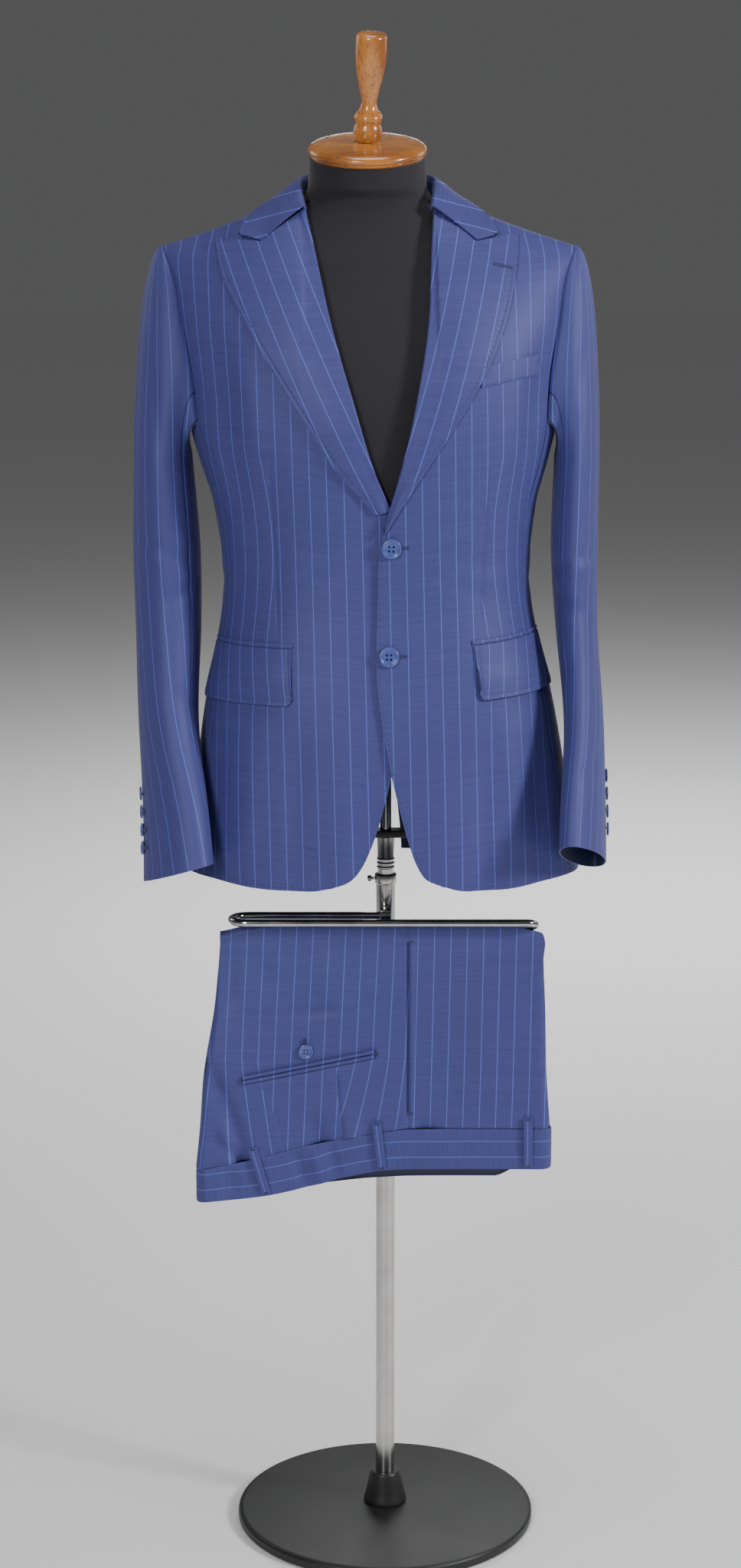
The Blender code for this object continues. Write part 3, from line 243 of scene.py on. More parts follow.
# Dress form and its stand
FORM_BOTTOM_Z = 0.905
FORM_CLEARANCE = 0.010
FORM_NECK_HALF = 0.0614
FORM_NECK_DEPTH = 0.0560
# The form's shoulder line, under the jacket's: distance from the middle line, height
FORM_SHOULDER = (
    (0.000, 1.4590),
    (0.068, 1.4590),
    (0.110, 1.4485),
    (0.162, 1.4297),
    (0.2130, 1.4133),
)
NECK_TOP_Z = 1.5055
NECK_TILT = math.radians(15.0)
CAP_RADIUS = 0.0620
CAP_THICKNESS = 0.0150
# Gaps under the cap and between the cap and the finial
CAP_GAP, FINIAL_GAP = 0.0004, 0.0009
FINIAL_LEAN = math.radians(2.4)
BASE_RADIUS = 0.166
BASE_THICKNESS = 0.012
LOWER_TUBE_RADIUS = 0.0104
UPPER_TUBE_RADIUS = 0.0090
ROD_RADIUS = 0.0060
TUBE_TOP_Z = 0.733
CROSSBAR_Z = 0.7890
CROSSBAR_HALF = 0.1050

# Finial, from its foot: height, radius
FINIAL = (
    (0.0000, 0.0125),
    (0.0030, 0.0138),
    (0.0090, 0.0153),
    (0.0150, 0.0146),
    (0.0180, 0.0132),
    (0.0205, 0.0142),
    (0.0250, 0.0150),
    (0.0290, 0.0128),
    (0.0325, 0.0098),
    (0.0400, 0.0080),
    (0.0540, 0.0108),
    (0.0690, 0.0142),
    (0.0850, 0.0160),
    (0.1030, 0.0162),
    (0.1075, 0.0156),
    (0.1095, 0.0135),
)

# Trouser bar: one bent rod
BAR_RADIUS = 0.0042
BAR_Z = 0.7030
BAR_FRONT_Y = -0.0620
BAR_BACK_Y = -0.0270
BAR_LEFT_X = -0.1655
BAR_RIGHT_X = 0.1600
LOWER_BAR_Y = -0.0440
LOWER_BAR_Z = 0.6945
LOWER_BAR_END_X = -0.1200
LUG_HALF_WIDTH = 0.0060
LUG_HALF_HEIGHT = 0.0075

# Trousers: height, left edge x, right edge x, y of the front layer, y of the back layer
TROUSER_SECTIONS = (
    (0.4300, -0.2064, 0.1790, -0.0715, -0.0480),
    (0.4760, -0.2015, 0.1780, -0.0715, -0.0480),
    (0.5350, -0.1969, 0.1738, -0.0695, -0.0480),
    (0.6050, -0.1857, 0.1720, -0.0630, -0.0485),
    (0.6600, -0.1805, 0.1695, -0.0560, -0.0490),
    (0.6885, -0.1783, 0.1684, -0.0517, -0.0486),
    (0.6945, -0.1783, 0.1490, -0.0515, -0.0486),
)
CORNER_Z = 0.6885
SIDE_SEAM_X = 0.0245
WAIST_SEAM_GAP = 0.0003
# How far in from the folded side edges the cloth curls back
EDGE_CURL_WIDTH = 0.009
# How far the fold's top drops past the rail's open end
OPEN_END_SAG = 0.0130
# Rows of faces on a trouser panel: up to its upper corner, from there to the rail's height, and over the rail
HANGING_ROWS, CORNER_ROWS, FOLD_ROWS = 7, 1, 5
# How far the fold stands off the rail: the outer layer's outer side, the inner layer's inner side
OUTER_FOLD_GAP = 0.0037
INNER_FOLD_GAP = 0.0005
# Waistband: x, bottom height, top height
WAISTBAND = (
    (-0.2064, 0.3925, 0.4286),
    (-0.1329, 0.4007, 0.4449),
    (-0.0890, 0.4103, 0.4570),
    (-0.0498, 0.4208, 0.4650),
    (-0.0157, 0.4280, 0.4703),
    (0.0258, 0.4312, 0.4763),
    (0.1800, 0.4312, 0.4763),
)
WAISTBAND_WALL = 0.0022
LOOP_WALL = 0.0012
LIP_WALL = 0.0010
WAISTBAND_FRONT_Y = -0.0722
WAISTBAND_BACK_Y = -0.0470
BACK_SAG = 0.0150
# Belt loops: x at top and at bottom
BELT_LOOPS = ((-0.1442, -0.1290), (-0.0100, -0.0040), (0.1536, 0.1540))
LOOP_RISE = 0.0135
LOOP_HALF_WIDTH = 0.0050
# Back pocket: x and height of its ends, then its button
BACK_POCKET = (-0.1539, 0.5310, -0.0120, 0.5600)
POCKET_BUTTON = (-0.0862, 0.5625)
# Folded legs behind: distance along them, left x, right x, y, z, thickness
LEG_FOLDS = (
    (-0.1180, 0.1480, -0.03790, 0.6948, 0.0026),
    (-0.1500, 0.1480, -0.03790, 0.6840, 0.0030),
    (-0.1640, 0.1470, -0.03790, 0.6550, 0.0056),
    (-0.1500, 0.1450, -0.03740, 0.5600, 0.0062),
    (-0.1150, 0.1400, -0.03740, 0.4620, 0.0062),
    (-0.1060, 0.1390, -0.03390, 0.4540, 0.0062),
    (-0.0980, 0.1380, -0.03040, 0.4620, 0.0062),
    (-0.0900, 0.1340, -0.03040, 0.5600, 0.0062),
    (-0.0720, 0.1300, -0.03040, 0.6460, 0.0062),
    (-0.0680, 0.1290, -0.02690, 0.6540, 0.0062),
    (-0.0650, 0.1280, -0.02340, 0.6460, 0.0062),
    (-0.0560, 0.1240, -0.02340, 0.5600, 0.0060),
    (-0.0480, 0.1200, -0.02340, 0.4500, 0.0056),
)

# Where the stripes start on some of the pieces, in metres
FRONT_PHASE = 0.0040
JET_PHASE = 0.0060
WELT_PHASE = 0.0080
WAIST_PHASE = 0.0035
LOOP_PHASE = 0.0006

# Each cloth piece's cut: greatest width across the warp, greatest length along it, area
CUTS = {
    "front_left": (0.198, 0.794, 0.1294),
    "front_right": (0.224, 0.816, 0.1474),
    "side_left": (0.102, 0.488, 0.0455),
    "side_right": (0.102, 0.488, 0.0455),
    "back_left": (0.253, 0.777, 0.1447),
    "back_right": (0.252, 0.777, 0.1447),
    "lapel_face_left": (0.116, 0.365, 0.0214),
    "lapel_face_right": (0.118, 0.354, 0.0240),
    "collar_leaf": (0.091, 0.408, 0.0248),
    "flap_left": (0.127, 0.058, 0.0068),
    "flap_right": (0.142, 0.061, 0.0078),
    "jet_left": (0.111, 0.0100, 0.00054),
    "jet_right": (0.121, 0.0100, 0.00058),
    "breast_welt": (0.074, 0.021, 0.0015),
    "sleeve_top_left": (0.213, 0.661, 0.0907),
    "sleeve_under_left": (0.146, 0.651, 0.0772),
    "sleeve_top_right": (0.215, 0.676, 0.0976),
    "sleeve_under_right": (0.156, 0.667, 0.0848),
    "trousers_back_left": (0.243, 0.279, 0.0582),
    "trousers_front_left": (0.160, 0.256, 0.0368),
    "trousers_back_right": (0.242, 0.268, 0.0560),
    "trousers_front_right": (0.160, 0.247, 0.0353),
    "waistband_cloth": (0.811, 0.061, 0.0388),
    "waist_loop_1": (0.0105, 0.055, 0.00057),
    "waist_loop_2": (0.0105, 0.055, 0.00057),
    "waist_loop_3": (0.0105, 0.057, 0.00059),
    "pocket_lip_lower": (0.145, 0.0100, 0.00066),
    "pocket_lip_upper": (0.145, 0.0100, 0.00066),
    "legs_folded": (0.310, 0.640, 0.1550),
}


# Shared curves and surfaces


def mix(start, end, share):
    return start + (end - start) * share


def smooth_step(low, high, value):
    share = min(max((value - low) / (high - low), 0.0), 1.0)
    return share * share * (3.0 - 2.0 * share)


def curve_between(start, leave, end, arrive, share):
    """The place at share on a smooth curve that leaves its start and arrives at its end in given ways."""
    square, cube = share**2, share**3
    return (
        start * (2 * cube - 3 * square + 1)
        + leave * (cube - 2 * square + share)
        + end * (3 * square - 2 * cube)
        + arrive * (cube - square)
    )


def read(rows, key, column=1):
    """A column's value, read on a smooth curve through rows that are sorted by their first column."""
    if key <= rows[0][0]:
        return rows[0][column]
    if key >= rows[-1][0]:
        return rows[-1][column]
    after = next(n for n in range(1, len(rows)) if key <= rows[n][0])

    def slope(n):
        low, high = rows[max(n - 1, 0)], rows[min(n + 1, len(rows) - 1)]
        return (high[column] - low[column]) / (high[0] - low[0])

    start, end = rows[after - 1], rows[after]
    span = end[0] - start[0]
    share = (key - start[0]) / span
    return curve_between(start[column], slope(after - 1) * span, end[column], slope(after) * span, share)


def middle_x(z):
    return LEAN_AT_HEM + (z - HEM_Z) * LEAN_PER_METRE


def section_depth(share):
    return max(0.0, 1.0 - abs(share) ** SQUARENESS) ** (1.0 / SQUARENESS)


def body_point(angle, z):
    """A point on the body below the armholes, at an angle from the front, positive to +X."""
    half = read(BODY, z, 1)
    depth = read(BODY, z, 2 if math.cos(angle) > 0 else 3)
    sine, cosine = math.sin(angle), math.cos(angle)
    power = 2.0 / SQUARENESS
    out = half * math.copysign(abs(sine) ** power, sine)
    y = -depth * math.copysign(abs(cosine) ** power, cosine)
    return Vector((middle_x(z) + out, y, z))


def neck_bow(out):
    """How far the neck opening's edge stands off the shoulder line, from 0 at its side to 1 at the middle."""
    return math.sqrt(max(0.0, 1.0 - (out / NECK_HALF) ** 2))


def ridge_height(out, back):
    drop = BACK_NECK_DROP * neck_bow(out) ** 2 if back else 0.0
    return read(SHOULDER, abs(out)) - drop


def upper_point(side, out, share, back):
    """A point above the armholes: out from the middle line, share of the way up to the shoulder seam."""
    top = ridge_height(out, back)
    z = ARMPIT_Z + (top - ARMPIT_Z) * share
    half = read(ARMHOLE, z) / SEAM_SHARE
    depth = read(BODY, z, 3 if back else 2) * section_depth(min(abs(out) / half, 1.0))
    bow = neck_bow(out)
    if back:
        top_y = SHOULDER_Y + 0.058 * bow
        rounded = 0.10 * share**2 + 0.90 * (1 - math.sqrt(max(0.0, 1 - share**4)))
        turn = mix(rounded, share**3, bow)
        y = mix(depth, top_y, turn)
    else:
        top_y = SHOULDER_Y - 0.060 * bow
        rounded = 0.22 * share**2 + 0.78 * (1 - math.sqrt(max(0.0, 1 - share**3.4)))
        turn = mix(rounded, share**2, bow)
        y = mix(-depth, top_y, turn)
    return Vector((middle_x(z) + side * out, y, z))


def chest_point(x, z, back=False):
    """The jacket surface at x and z, on the front or the back."""
    out = x - middle_x(z)
    if z <= ARMPIT_Z:
        depth = read(BODY, z, 3 if back else 2) * section_depth(out / read(BODY, z, 1))
        return Vector((x, depth if back else -depth, z))
    share = (z - ARMPIT_Z) / (ridge_height(abs(out), back) - ARMPIT_Z)
    point = upper_point(math.copysign(1, out), abs(out), min(share, 1.0), back)
    return Vector((x, point.y, z))


def chest_normal(x, z):
    step = 0.003
    across = chest_point(x + step, z) - chest_point(x - step, z)
    along = chest_point(x, z + step) - chest_point(x, z - step)
    return across.cross(along).normalized()


# The share of a front's or back's length that lies below the armpit
ARMPIT_SHARE = 0.64


def armhole_row(v):
    """Above the armpit: the share of the way up to the shoulder seam, and how far out the armhole lies."""
    share = math.sin(math.pi / 2 * (v - ARMPIT_SHARE) / (1 - ARMPIT_SHARE))
    return share, read(ARMHOLE, mix(ARMPIT_Z, SHOULDER_TIP_Z, share)) - SEAM_GAP / 2


def underlap(x, z):
    return UNDERLAP_DROP * smooth_step(-0.050, -0.016, x) * smooth_step(1.205, 1.165, z)


def front_surface(side, u, v):
    """A front panel: u from its front edge to the side seam, v from the hem to the shoulder seam."""
    edge = FRONT_EDGE[side]
    if v <= ARMPIT_SHARE:
        rise = v / ARMPIT_SHARE
        corner = edge[0][0]
        bottom = mix(corner, HEM_Z + 0.004, smooth_step(0.0, 0.2, u))
        bottom = mix(bottom, HEM_Z + HEM_RISE_AT_SIDE, smooth_step(0.4, 1.0, u))
        z = mix(bottom, ARMPIT_Z, rise)
        inner = read(edge, z)
        outer = middle_x(z) + side * (SEAM_SHARE * read(BODY, z, 1) - SEAM_GAP / 2)
        x = mix(inner, outer, u)
        point = chest_point(x, z)
    else:
        share, outer = armhole_row(v)
        inner_z = mix(ARMPIT_Z, NECK_POINT_Z, share)
        inner = side * (read(edge, inner_z) - middle_x(inner_z))
        point = upper_point(side, mix(inner, outer, u), share, False)
        point.y -= SEAM_GAP / 2 * smooth_step(0.9, 1.0, share)
    if side < 0:
        point.y += underlap(point.x, point.z)
    return point


def side_surface(side, u, v):
    """A side panel, from the front side seam to the back one and from the hem to the armhole."""
    gap = SEAM_GAP / 2 / 0.06
    angle = mix(SIDE_SEAM_ANGLE + gap, math.pi - SIDE_SEAM_ANGLE - gap, u)
    top = ARMPIT_Z - 0.010 * math.sin(math.pi * u)
    return body_point(side * angle, mix(HEM_Z + HEM_RISE_AT_SIDE, top, v))


def back_surface(side, u, v):
    """A back panel: u from the centre seam, which opens into a vent, to the side seam."""
    if v <= ARMPIT_SHARE:
        bottom = mix(HEM_Z + 0.004, HEM_Z + HEM_RISE_AT_SIDE, smooth_step(0.3, 1.0, u))
        z = mix(bottom, ARMPIT_Z, v / ARMPIT_SHARE)
        opening = VENT_HALF_AT_HEM * smooth_step(VENT_TOP_Z, HEM_Z, z)
        inner = SEAM_GAP / 2 + opening
        outer = SEAM_SHARE * read(BODY, z, 1) - SEAM_GAP / 2
        point = chest_point(middle_x(z) + side * mix(inner, outer, u), z, True)
    else:
        share, outer = armhole_row(v)
        point = upper_point(side, mix(SEAM_GAP / 2, outer, u), share, True)
        point.y += SEAM_GAP / 2 * smooth_step(0.9, 1.0, share)
    return point


def lifted(x, z, height):
    """The chest surface at x and z, moved out along its normal."""
    return chest_point(x, z) + chest_normal(x, z) * height


def lapel_outline(side, u, v):
    """x and z of the lapel: u from the roll line to its outer edge, v from the break to the gorge."""
    roll, edge = FRONT_EDGE[side], LAPEL_EDGE[side]
    low, peak = edge[0][0], edge[-1][0]
    axis = middle_x(GORGE_TOP[1])
    roll_z = mix(low + 0.004, GORGE_TOP[1], v)
    edge_z = mix(low, peak, v)
    left = Vector((read(roll, roll_z), roll_z))
    right = Vector((read(edge, edge_z), edge_z))
    gorge = Vector((axis + side * GORGE_CORNER[0], GORGE_CORNER[1] - GORGE_GAP))
    start, end = Vector((read(roll, GORGE_TOP[1]), GORGE_TOP[1])), Vector((edge[-1][1], peak))
    if u < GORGE_SHARE:
        top = start.lerp(gorge, u / GORGE_SHARE)
    else:
        top = gorge.lerp(end, (u - GORGE_SHARE) / (1 - GORGE_SHARE))
    return left.lerp(right, u) + (top - start.lerp(end, u)) * v**5


def lapel_surface(side, u, v):
    x, z = lapel_outline(side, u, v)
    gap = 0.0010 + 0.0022 * smooth_step(0.0, 0.42, u) - 0.0012 * smooth_step(0.5, 1.0, u)
    under = underlap(x, z) if side < 0 else 0.0
    return lifted(x, z, LAPEL_WALL + gap - under)


def over_ridge(side, out, share):
    """The jacket surface near the shoulder seam: share is negative in front of it and positive behind."""
    return upper_point(side, out, 1 - abs(share), share > 0)


def collar_section(station):
    """Fold, foot, leaf edge and mid-leaf points of the collar at a station from -1 to 1."""
    side = -1 if station < 0 else 1
    place = abs(station)
    row = [read(COLLAR, place, column) for column in range(1, 9)]
    fold = Vector((middle_x(row[2]) + side * row[0], row[1], row[2]))
    foot = Vector((middle_x(row[5]) + side * row[3], row[4], row[5]))
    edge = over_ridge(side, row[6], row[7])
    outward = Vector((side * row[6] * 0.5, edge.y, 0.10)).normalized()
    edge += outward * COLLAR_LIFT
    middle = fold.lerp(edge, 0.55) - Vector((0, 0, 0.0018)) * smooth_step(0.3, 0.6, place)
    ends = smooth_step(0.80, 1.0, place)
    x = middle_x(GORGE_CORNER[1]) + side * GORGE_CORNER[0]
    corner = lifted(x, GORGE_CORNER[1] + GORGE_GAP, COLLAR_LIFT)
    out, z = COLLAR_CORNER
    leaf_corner = lifted(middle_x(z) + side * out, z, COLLAR_CORNER_LIFT)
    return fold, foot, edge.lerp(leaf_corner, ends), middle.lerp(corner, ends)


def off_body(angle, z, lift):
    """A point on the body, moved straight out from its middle line."""
    point = body_point(angle, z)
    return point + (point - Vector((middle_x(z), 0, z))).normalized() * lift


def flap_surface(side, shape, u, v):
    """A pocket flap: u from its front end round the hip, v from its lower edge to the pocket's mouth."""
    inner, low_inner, outer, top_in, top_out, low_in, low_out = shape
    across = (1 - math.cos(math.pi * u)) / 2
    angle = math.radians(mix(mix(low_inner, inner, v), outer, across))
    from_end = min(across, 1 - across) * 0.17
    rounding = 0.0
    if from_end < FLAP_CORNER:
        rounding = FLAP_CORNER - math.sqrt(FLAP_CORNER**2 - (FLAP_CORNER - from_end) ** 2)
    z = mix(mix(low_in, low_out, across) + rounding, mix(top_in, top_out, across), v)
    return off_body(side * angle, z, JACKET_WALL + 0.0008 + 0.0022 * (1 - v))


def jet_surface(side, shape, u, v):
    """The narrow welt along a flap pocket's mouth."""
    inner, _, outer, top_in, top_out = shape[:5]
    angle = math.radians(mix(inner - 0.5, outer, u))
    z = mix(top_in, top_out, u) + 0.0006 + JET_HEIGHT * v
    return off_body(side * angle, z, JET_LIFT)


def breast_surface(u, v):
    start, end, low, low_end, height = BREAST_WELT
    x = mix(start, end, u) - 0.001 * v
    return lifted(x, mix(low, low_end, u) + height * v, WELT_LIFT)


def armhole_point(side, turn):
    """The armhole seam: turn 0 at the shoulder tip, 0.25 in front, 0.5 under the arm, 0.75 behind."""
    turn %= 1.0
    if turn < 0.40 or turn > 0.60:
        back = turn > 0.5
        share = math.sin(math.pi / 2 * (1 - (1 - turn if back else turn) / 0.40))
        z = mix(ARMPIT_Z, SHOULDER_TIP_Z, share)
        return upper_point(side, read(ARMHOLE, z), share, back)
    across = (turn - 0.40) / 0.20
    return side_surface(side, across, 1.0)


def sleeve_ring(rows, side, turn, z):
    """A point of the hanging sleeve at a height, before its cuff's slant."""
    centre_x, centre_y, thin, deep, oval_turn, slant, rise = (read(rows, z, n) for n in range(1, 8))
    angle = 2 * math.pi * turn
    tilt = math.radians(oval_turn)
    forward = Vector((-side * math.sin(tilt), -math.cos(tilt), 0))
    outward = Vector((side * math.cos(tilt), -math.sin(tilt), 0))
    offset = outward * thin * math.cos(angle) + forward * deep * math.sin(angle)
    return Vector((centre_x, centre_y, z - slant * offset.y - side * rise * offset.x)) + offset


# The share of a sleeve's length above its straight part
CAP_SHARE = 0.30


def sleeve_surface(side, turn, v):
    """A sleeve, from the armhole seam at v 0 to the cuff at v 1."""
    rows = SLEEVES[side]
    top = rows[-1][0]
    if v >= CAP_SHARE:
        z = mix(top, rows[0][0], (v - CAP_SHARE) / (1 - CAP_SHARE))
        return sleeve_ring(rows, side, turn, z)
    share = v / CAP_SHARE
    start = armhole_point(side, turn) - Vector((side * ARMHOLE_OVERLAP, 0, 0))
    end = sleeve_ring(rows, side, turn, top)
    over = (1 + math.cos(2 * math.pi * turn)) / 2
    leave = Vector((side * mix(0.030, 0.085, over), 0, mix(-0.01, 0.012, over)))
    leave.y = -0.030 * math.sin(2 * math.pi * turn)
    arrive = Vector((0, 0, -mix(0.035, 0.12, over)))
    return curve_between(start, leave, end, arrive, share)


def form_ring(z, steps=7):
    """A level ring of the dress form, a little inside the jacket, counter-clockwise seen from above."""
    base_half = read(BODY, min(z, ARMPIT_Z), 1) - FORM_CLEARANCE - 0.002
    ridge = FORM_SHOULDER[-1][0]
    while ridge > FORM_SHOULDER[1][0] and read(FORM_SHOULDER, ridge) < z:
        ridge -= 0.0005
    armhole = read(ARMHOLE, z) - FORM_CLEARANCE
    half = min(mix(base_half, armhole, smooth_step(ARMPIT_Z, ARMPIT_Z + 0.05, z)), ridge)

    def depth(out, back):
        if z <= ARMPIT_Z:
            full = read(BODY, z, 3 if back else 2) * section_depth(out / read(BODY, z, 1))
            y = full if back else -full
        else:
            share = min((z - ARMPIT_Z) / (read(FORM_SHOULDER, out) - ARMPIT_Z), 1.0)
            y = upper_point(1, out, share, back).y
        thin = mix(FORM_CLEARANCE, 0.0056, smooth_step(1.38, 1.415, z))
        if out < NECK_HALF:
            thin = max(thin, 0.008)
        inset = y - thin if back else y + thin
        return max(inset, SHOULDER_Y + 0.0012) if back else min(inset, SHOULDER_Y - 0.0012)

    centre = middle_x(z)
    reach = half * 0.999
    shares = [math.sin(math.pi / 2 * n / steps) for n in range(steps + 1)]
    front = [(reach * share, depth(reach * share, False)) for share in shares]
    back = [(reach * share, depth(reach * share, True)) for share in shares]
    edge = [(half, mix(front[-1][1], back[-1][1], n / 3)) for n in (1, 2)]
    right = front + edge + back[::-1]
    left = [(-out, y) for out, y in right[::-1]][1:-1]
    return [Vector((centre + out, y, z)) for out, y in right + left]


def neck_ring(template, z, tilt):
    """A ring of the neck with as many points as template, sloping down to the front by tilt."""
    centre = middle_x(1.49)
    ring = []
    for point in template:
        angle = math.atan2(point.x - middle_x(point.z), -point.y)
        x = FORM_NECK_HALF * math.sin(angle)
        y = -FORM_NECK_DEPTH * math.cos(angle)
        ring.append(Vector((centre + x, y, z + y * math.tan(tilt))))
    return ring


def cap_place(lift):
    """The tilted frame of the neck cap, lifted along its own axis."""
    centre = Vector((middle_x(1.49), 0.0, NECK_TOP_Z))
    tilt = Matrix.Rotation(NECK_TILT, 4, "X")
    return Matrix.Translation(centre) @ tilt @ Matrix.Translation((0, 0, lift))


def arc_points(centre, first, second, start, end, steps):
    """Points on an arc in the plane of two perpendicular radius vectors."""
    angles = (mix(start, end, n / steps) for n in range(steps + 1))
    return [centre + first * math.cos(a) + second * math.sin(a) for a in angles]


def trouser_edge_curl(x, left, right):
    """How far the cloth curls back near the folded side edges."""
    near = min(x - left, right - x)
    if near >= EDGE_CURL_WIDTH:
        return 0.0
    share = 1 - max(near, 0.0) / EDGE_CURL_WIDTH
    return 1 - math.sqrt(1 - share**2)


def fold_sag(x):
    """How far the fold's top lies below its height on the lower rail."""
    return OPEN_END_SAG * smooth_step(LOWER_BAR_END_X - 0.001, LOWER_BAR_END_X - 0.066, x)


def trouser_surface(layer, start_x, end_x, u, v):
    """A trouser panel from the waist seam at v 0, up and over the lower rail at v 1.

    Layer 0 shows and layer 1 is behind it.
    """
    radius = BAR_RADIUS + (OUTER_FOLD_GAP if layer == 0 else INNER_FOLD_GAP)
    row = v * (HANGING_ROWS + CORNER_ROWS + FOLD_ROWS)
    guess = mix(max(start_x, TROUSER_SECTIONS[0][1]), min(end_x, TROUSER_SECTIONS[0][2]), u)
    bottom = read(WAISTBAND, guess, 2) + WAIST_SEAM_GAP
    corner = CORNER_Z - 0.004 * layer
    if row <= HANGING_ROWS:
        z = mix(bottom, corner, row / HANGING_ROWS)
    else:
        z = mix(corner, LOWER_BAR_Z, min((row - HANGING_ROWS) / CORNER_ROWS, 1.0))
    _, left, right, front, back = (read(TROUSER_SECTIONS, z, column) for column in range(5))
    x = mix(max(start_x, left), min(end_x, right), u)
    lowered = z - fold_sag(x) * smooth_step(0.56, LOWER_BAR_Z, z)
    turned = row - HANGING_ROWS - CORNER_ROWS
    if turned > 0:
        angle = math.pi * 0.94 * turned / FOLD_ROWS
        return Vector((x, LOWER_BAR_Y - radius * math.cos(angle), lowered + radius * math.sin(angle)))
    face, inset = (front, 0.0012) if layer == 0 else (back, -0.0012)
    curl = trouser_edge_curl(x, left, right) * smooth_step(CORNER_Z, CORNER_Z - 0.06, z)
    return Vector((x, mix(face, (front + back) / 2 - inset, curl), lowered))


def waistband_surface(u, v):
    """The waistband, a flat loop: u runs round it from the left end along the front layer, v up it."""
    left, right = WAISTBAND[0][0], WAISTBAND[-1][0]
    front, back = WAISTBAND_FRONT_Y, WAISTBAND_BACK_Y
    radius = (back - front) / 2
    straight = right - left - 2 * radius
    total = 2 * straight + 2 * math.pi * radius
    travel = (u % 1.0) * total
    middle = (front + back) / 2
    if travel < straight:
        x, y, behind = left + radius + travel, front, 0.0
    elif travel < straight + math.pi * radius:
        angle = (travel - straight) / radius
        x, y = right - radius + radius * math.sin(angle), middle - radius * math.cos(angle)
        behind = (1 - math.cos(angle)) / 2
    elif travel < 2 * straight + math.pi * radius:
        x, y, behind = right - radius - (travel - straight - math.pi * radius), back, 1.0
    else:
        angle = (travel - 2 * straight - math.pi * radius) / radius
        x, y = left + radius - radius * math.sin(angle), middle + radius * math.cos(angle)
        behind = (1 + math.cos(angle)) / 2
    low, high = read(WAISTBAND, x, 1), read(WAISTBAND, x, 2)
    sag = BACK_SAG * behind * smooth_step(-0.150, 0.010, x) * smooth_step(0.155, 0.118, x)
    return Vector((x, y, mix(low - sag, high, v)))


def belt_loop_surface(top_x, low_x, u, v):
    """A belt loop: a strip over the waistband, folded in at its ends."""
    x = mix(low_x, top_x, v) + (u - 0.5) * 2 * LOOP_HALF_WIDTH
    low, high = read(WAISTBAND, x, 1) + 0.002, read(WAISTBAND, x, 2) + LOOP_RISE
    lift = 0.0019 + 0.0016 * math.sin(math.pi * v)
    return Vector((x, WAISTBAND_FRONT_Y - lift, mix(low, high, v)))


def trouser_front_y(z):
    return read(TROUSER_SECTIONS, z, 3)


def pocket_jet_surface(offset, u, v):
    """One jet of the back pocket."""
    x0, z0, x1, z1 = BACK_POCKET
    z = mix(z0, z1, u) + offset + 0.0042 * v
    return Vector((mix(x0, x1, u), trouser_front_y(z) - LIP_LIFT, z))


# Shader maths


class Value:
    """One number worked out by shader nodes, for use in plain sums."""

    def __init__(self, finish, socket):
        self.finish, self.socket = finish, socket

    def maths(self, operation, *others, clamp=False):
        settings = {"operation": operation, "use_clamp": clamp}
        return self.finish.value(self.finish.node("ShaderNodeMath", settings, (self, *others)))

    def __add__(self, other):
        return self.maths("ADD", other)

    __radd__ = __add__

    def __mul__(self, other):
        return self.maths("MULTIPLY", other)

    __rmul__ = __mul__

    def __sub__(self, other):
        return self.maths("SUBTRACT", other)

    def __rsub__(self, other):
        return self * -1.0 + other

    def within(self, edge, soft):
        """1 where the value is under edge, fading to 0 over soft."""
        return ((self - edge) * (-1.0 / soft)).maths("ADD", 0.5, clamp=True)


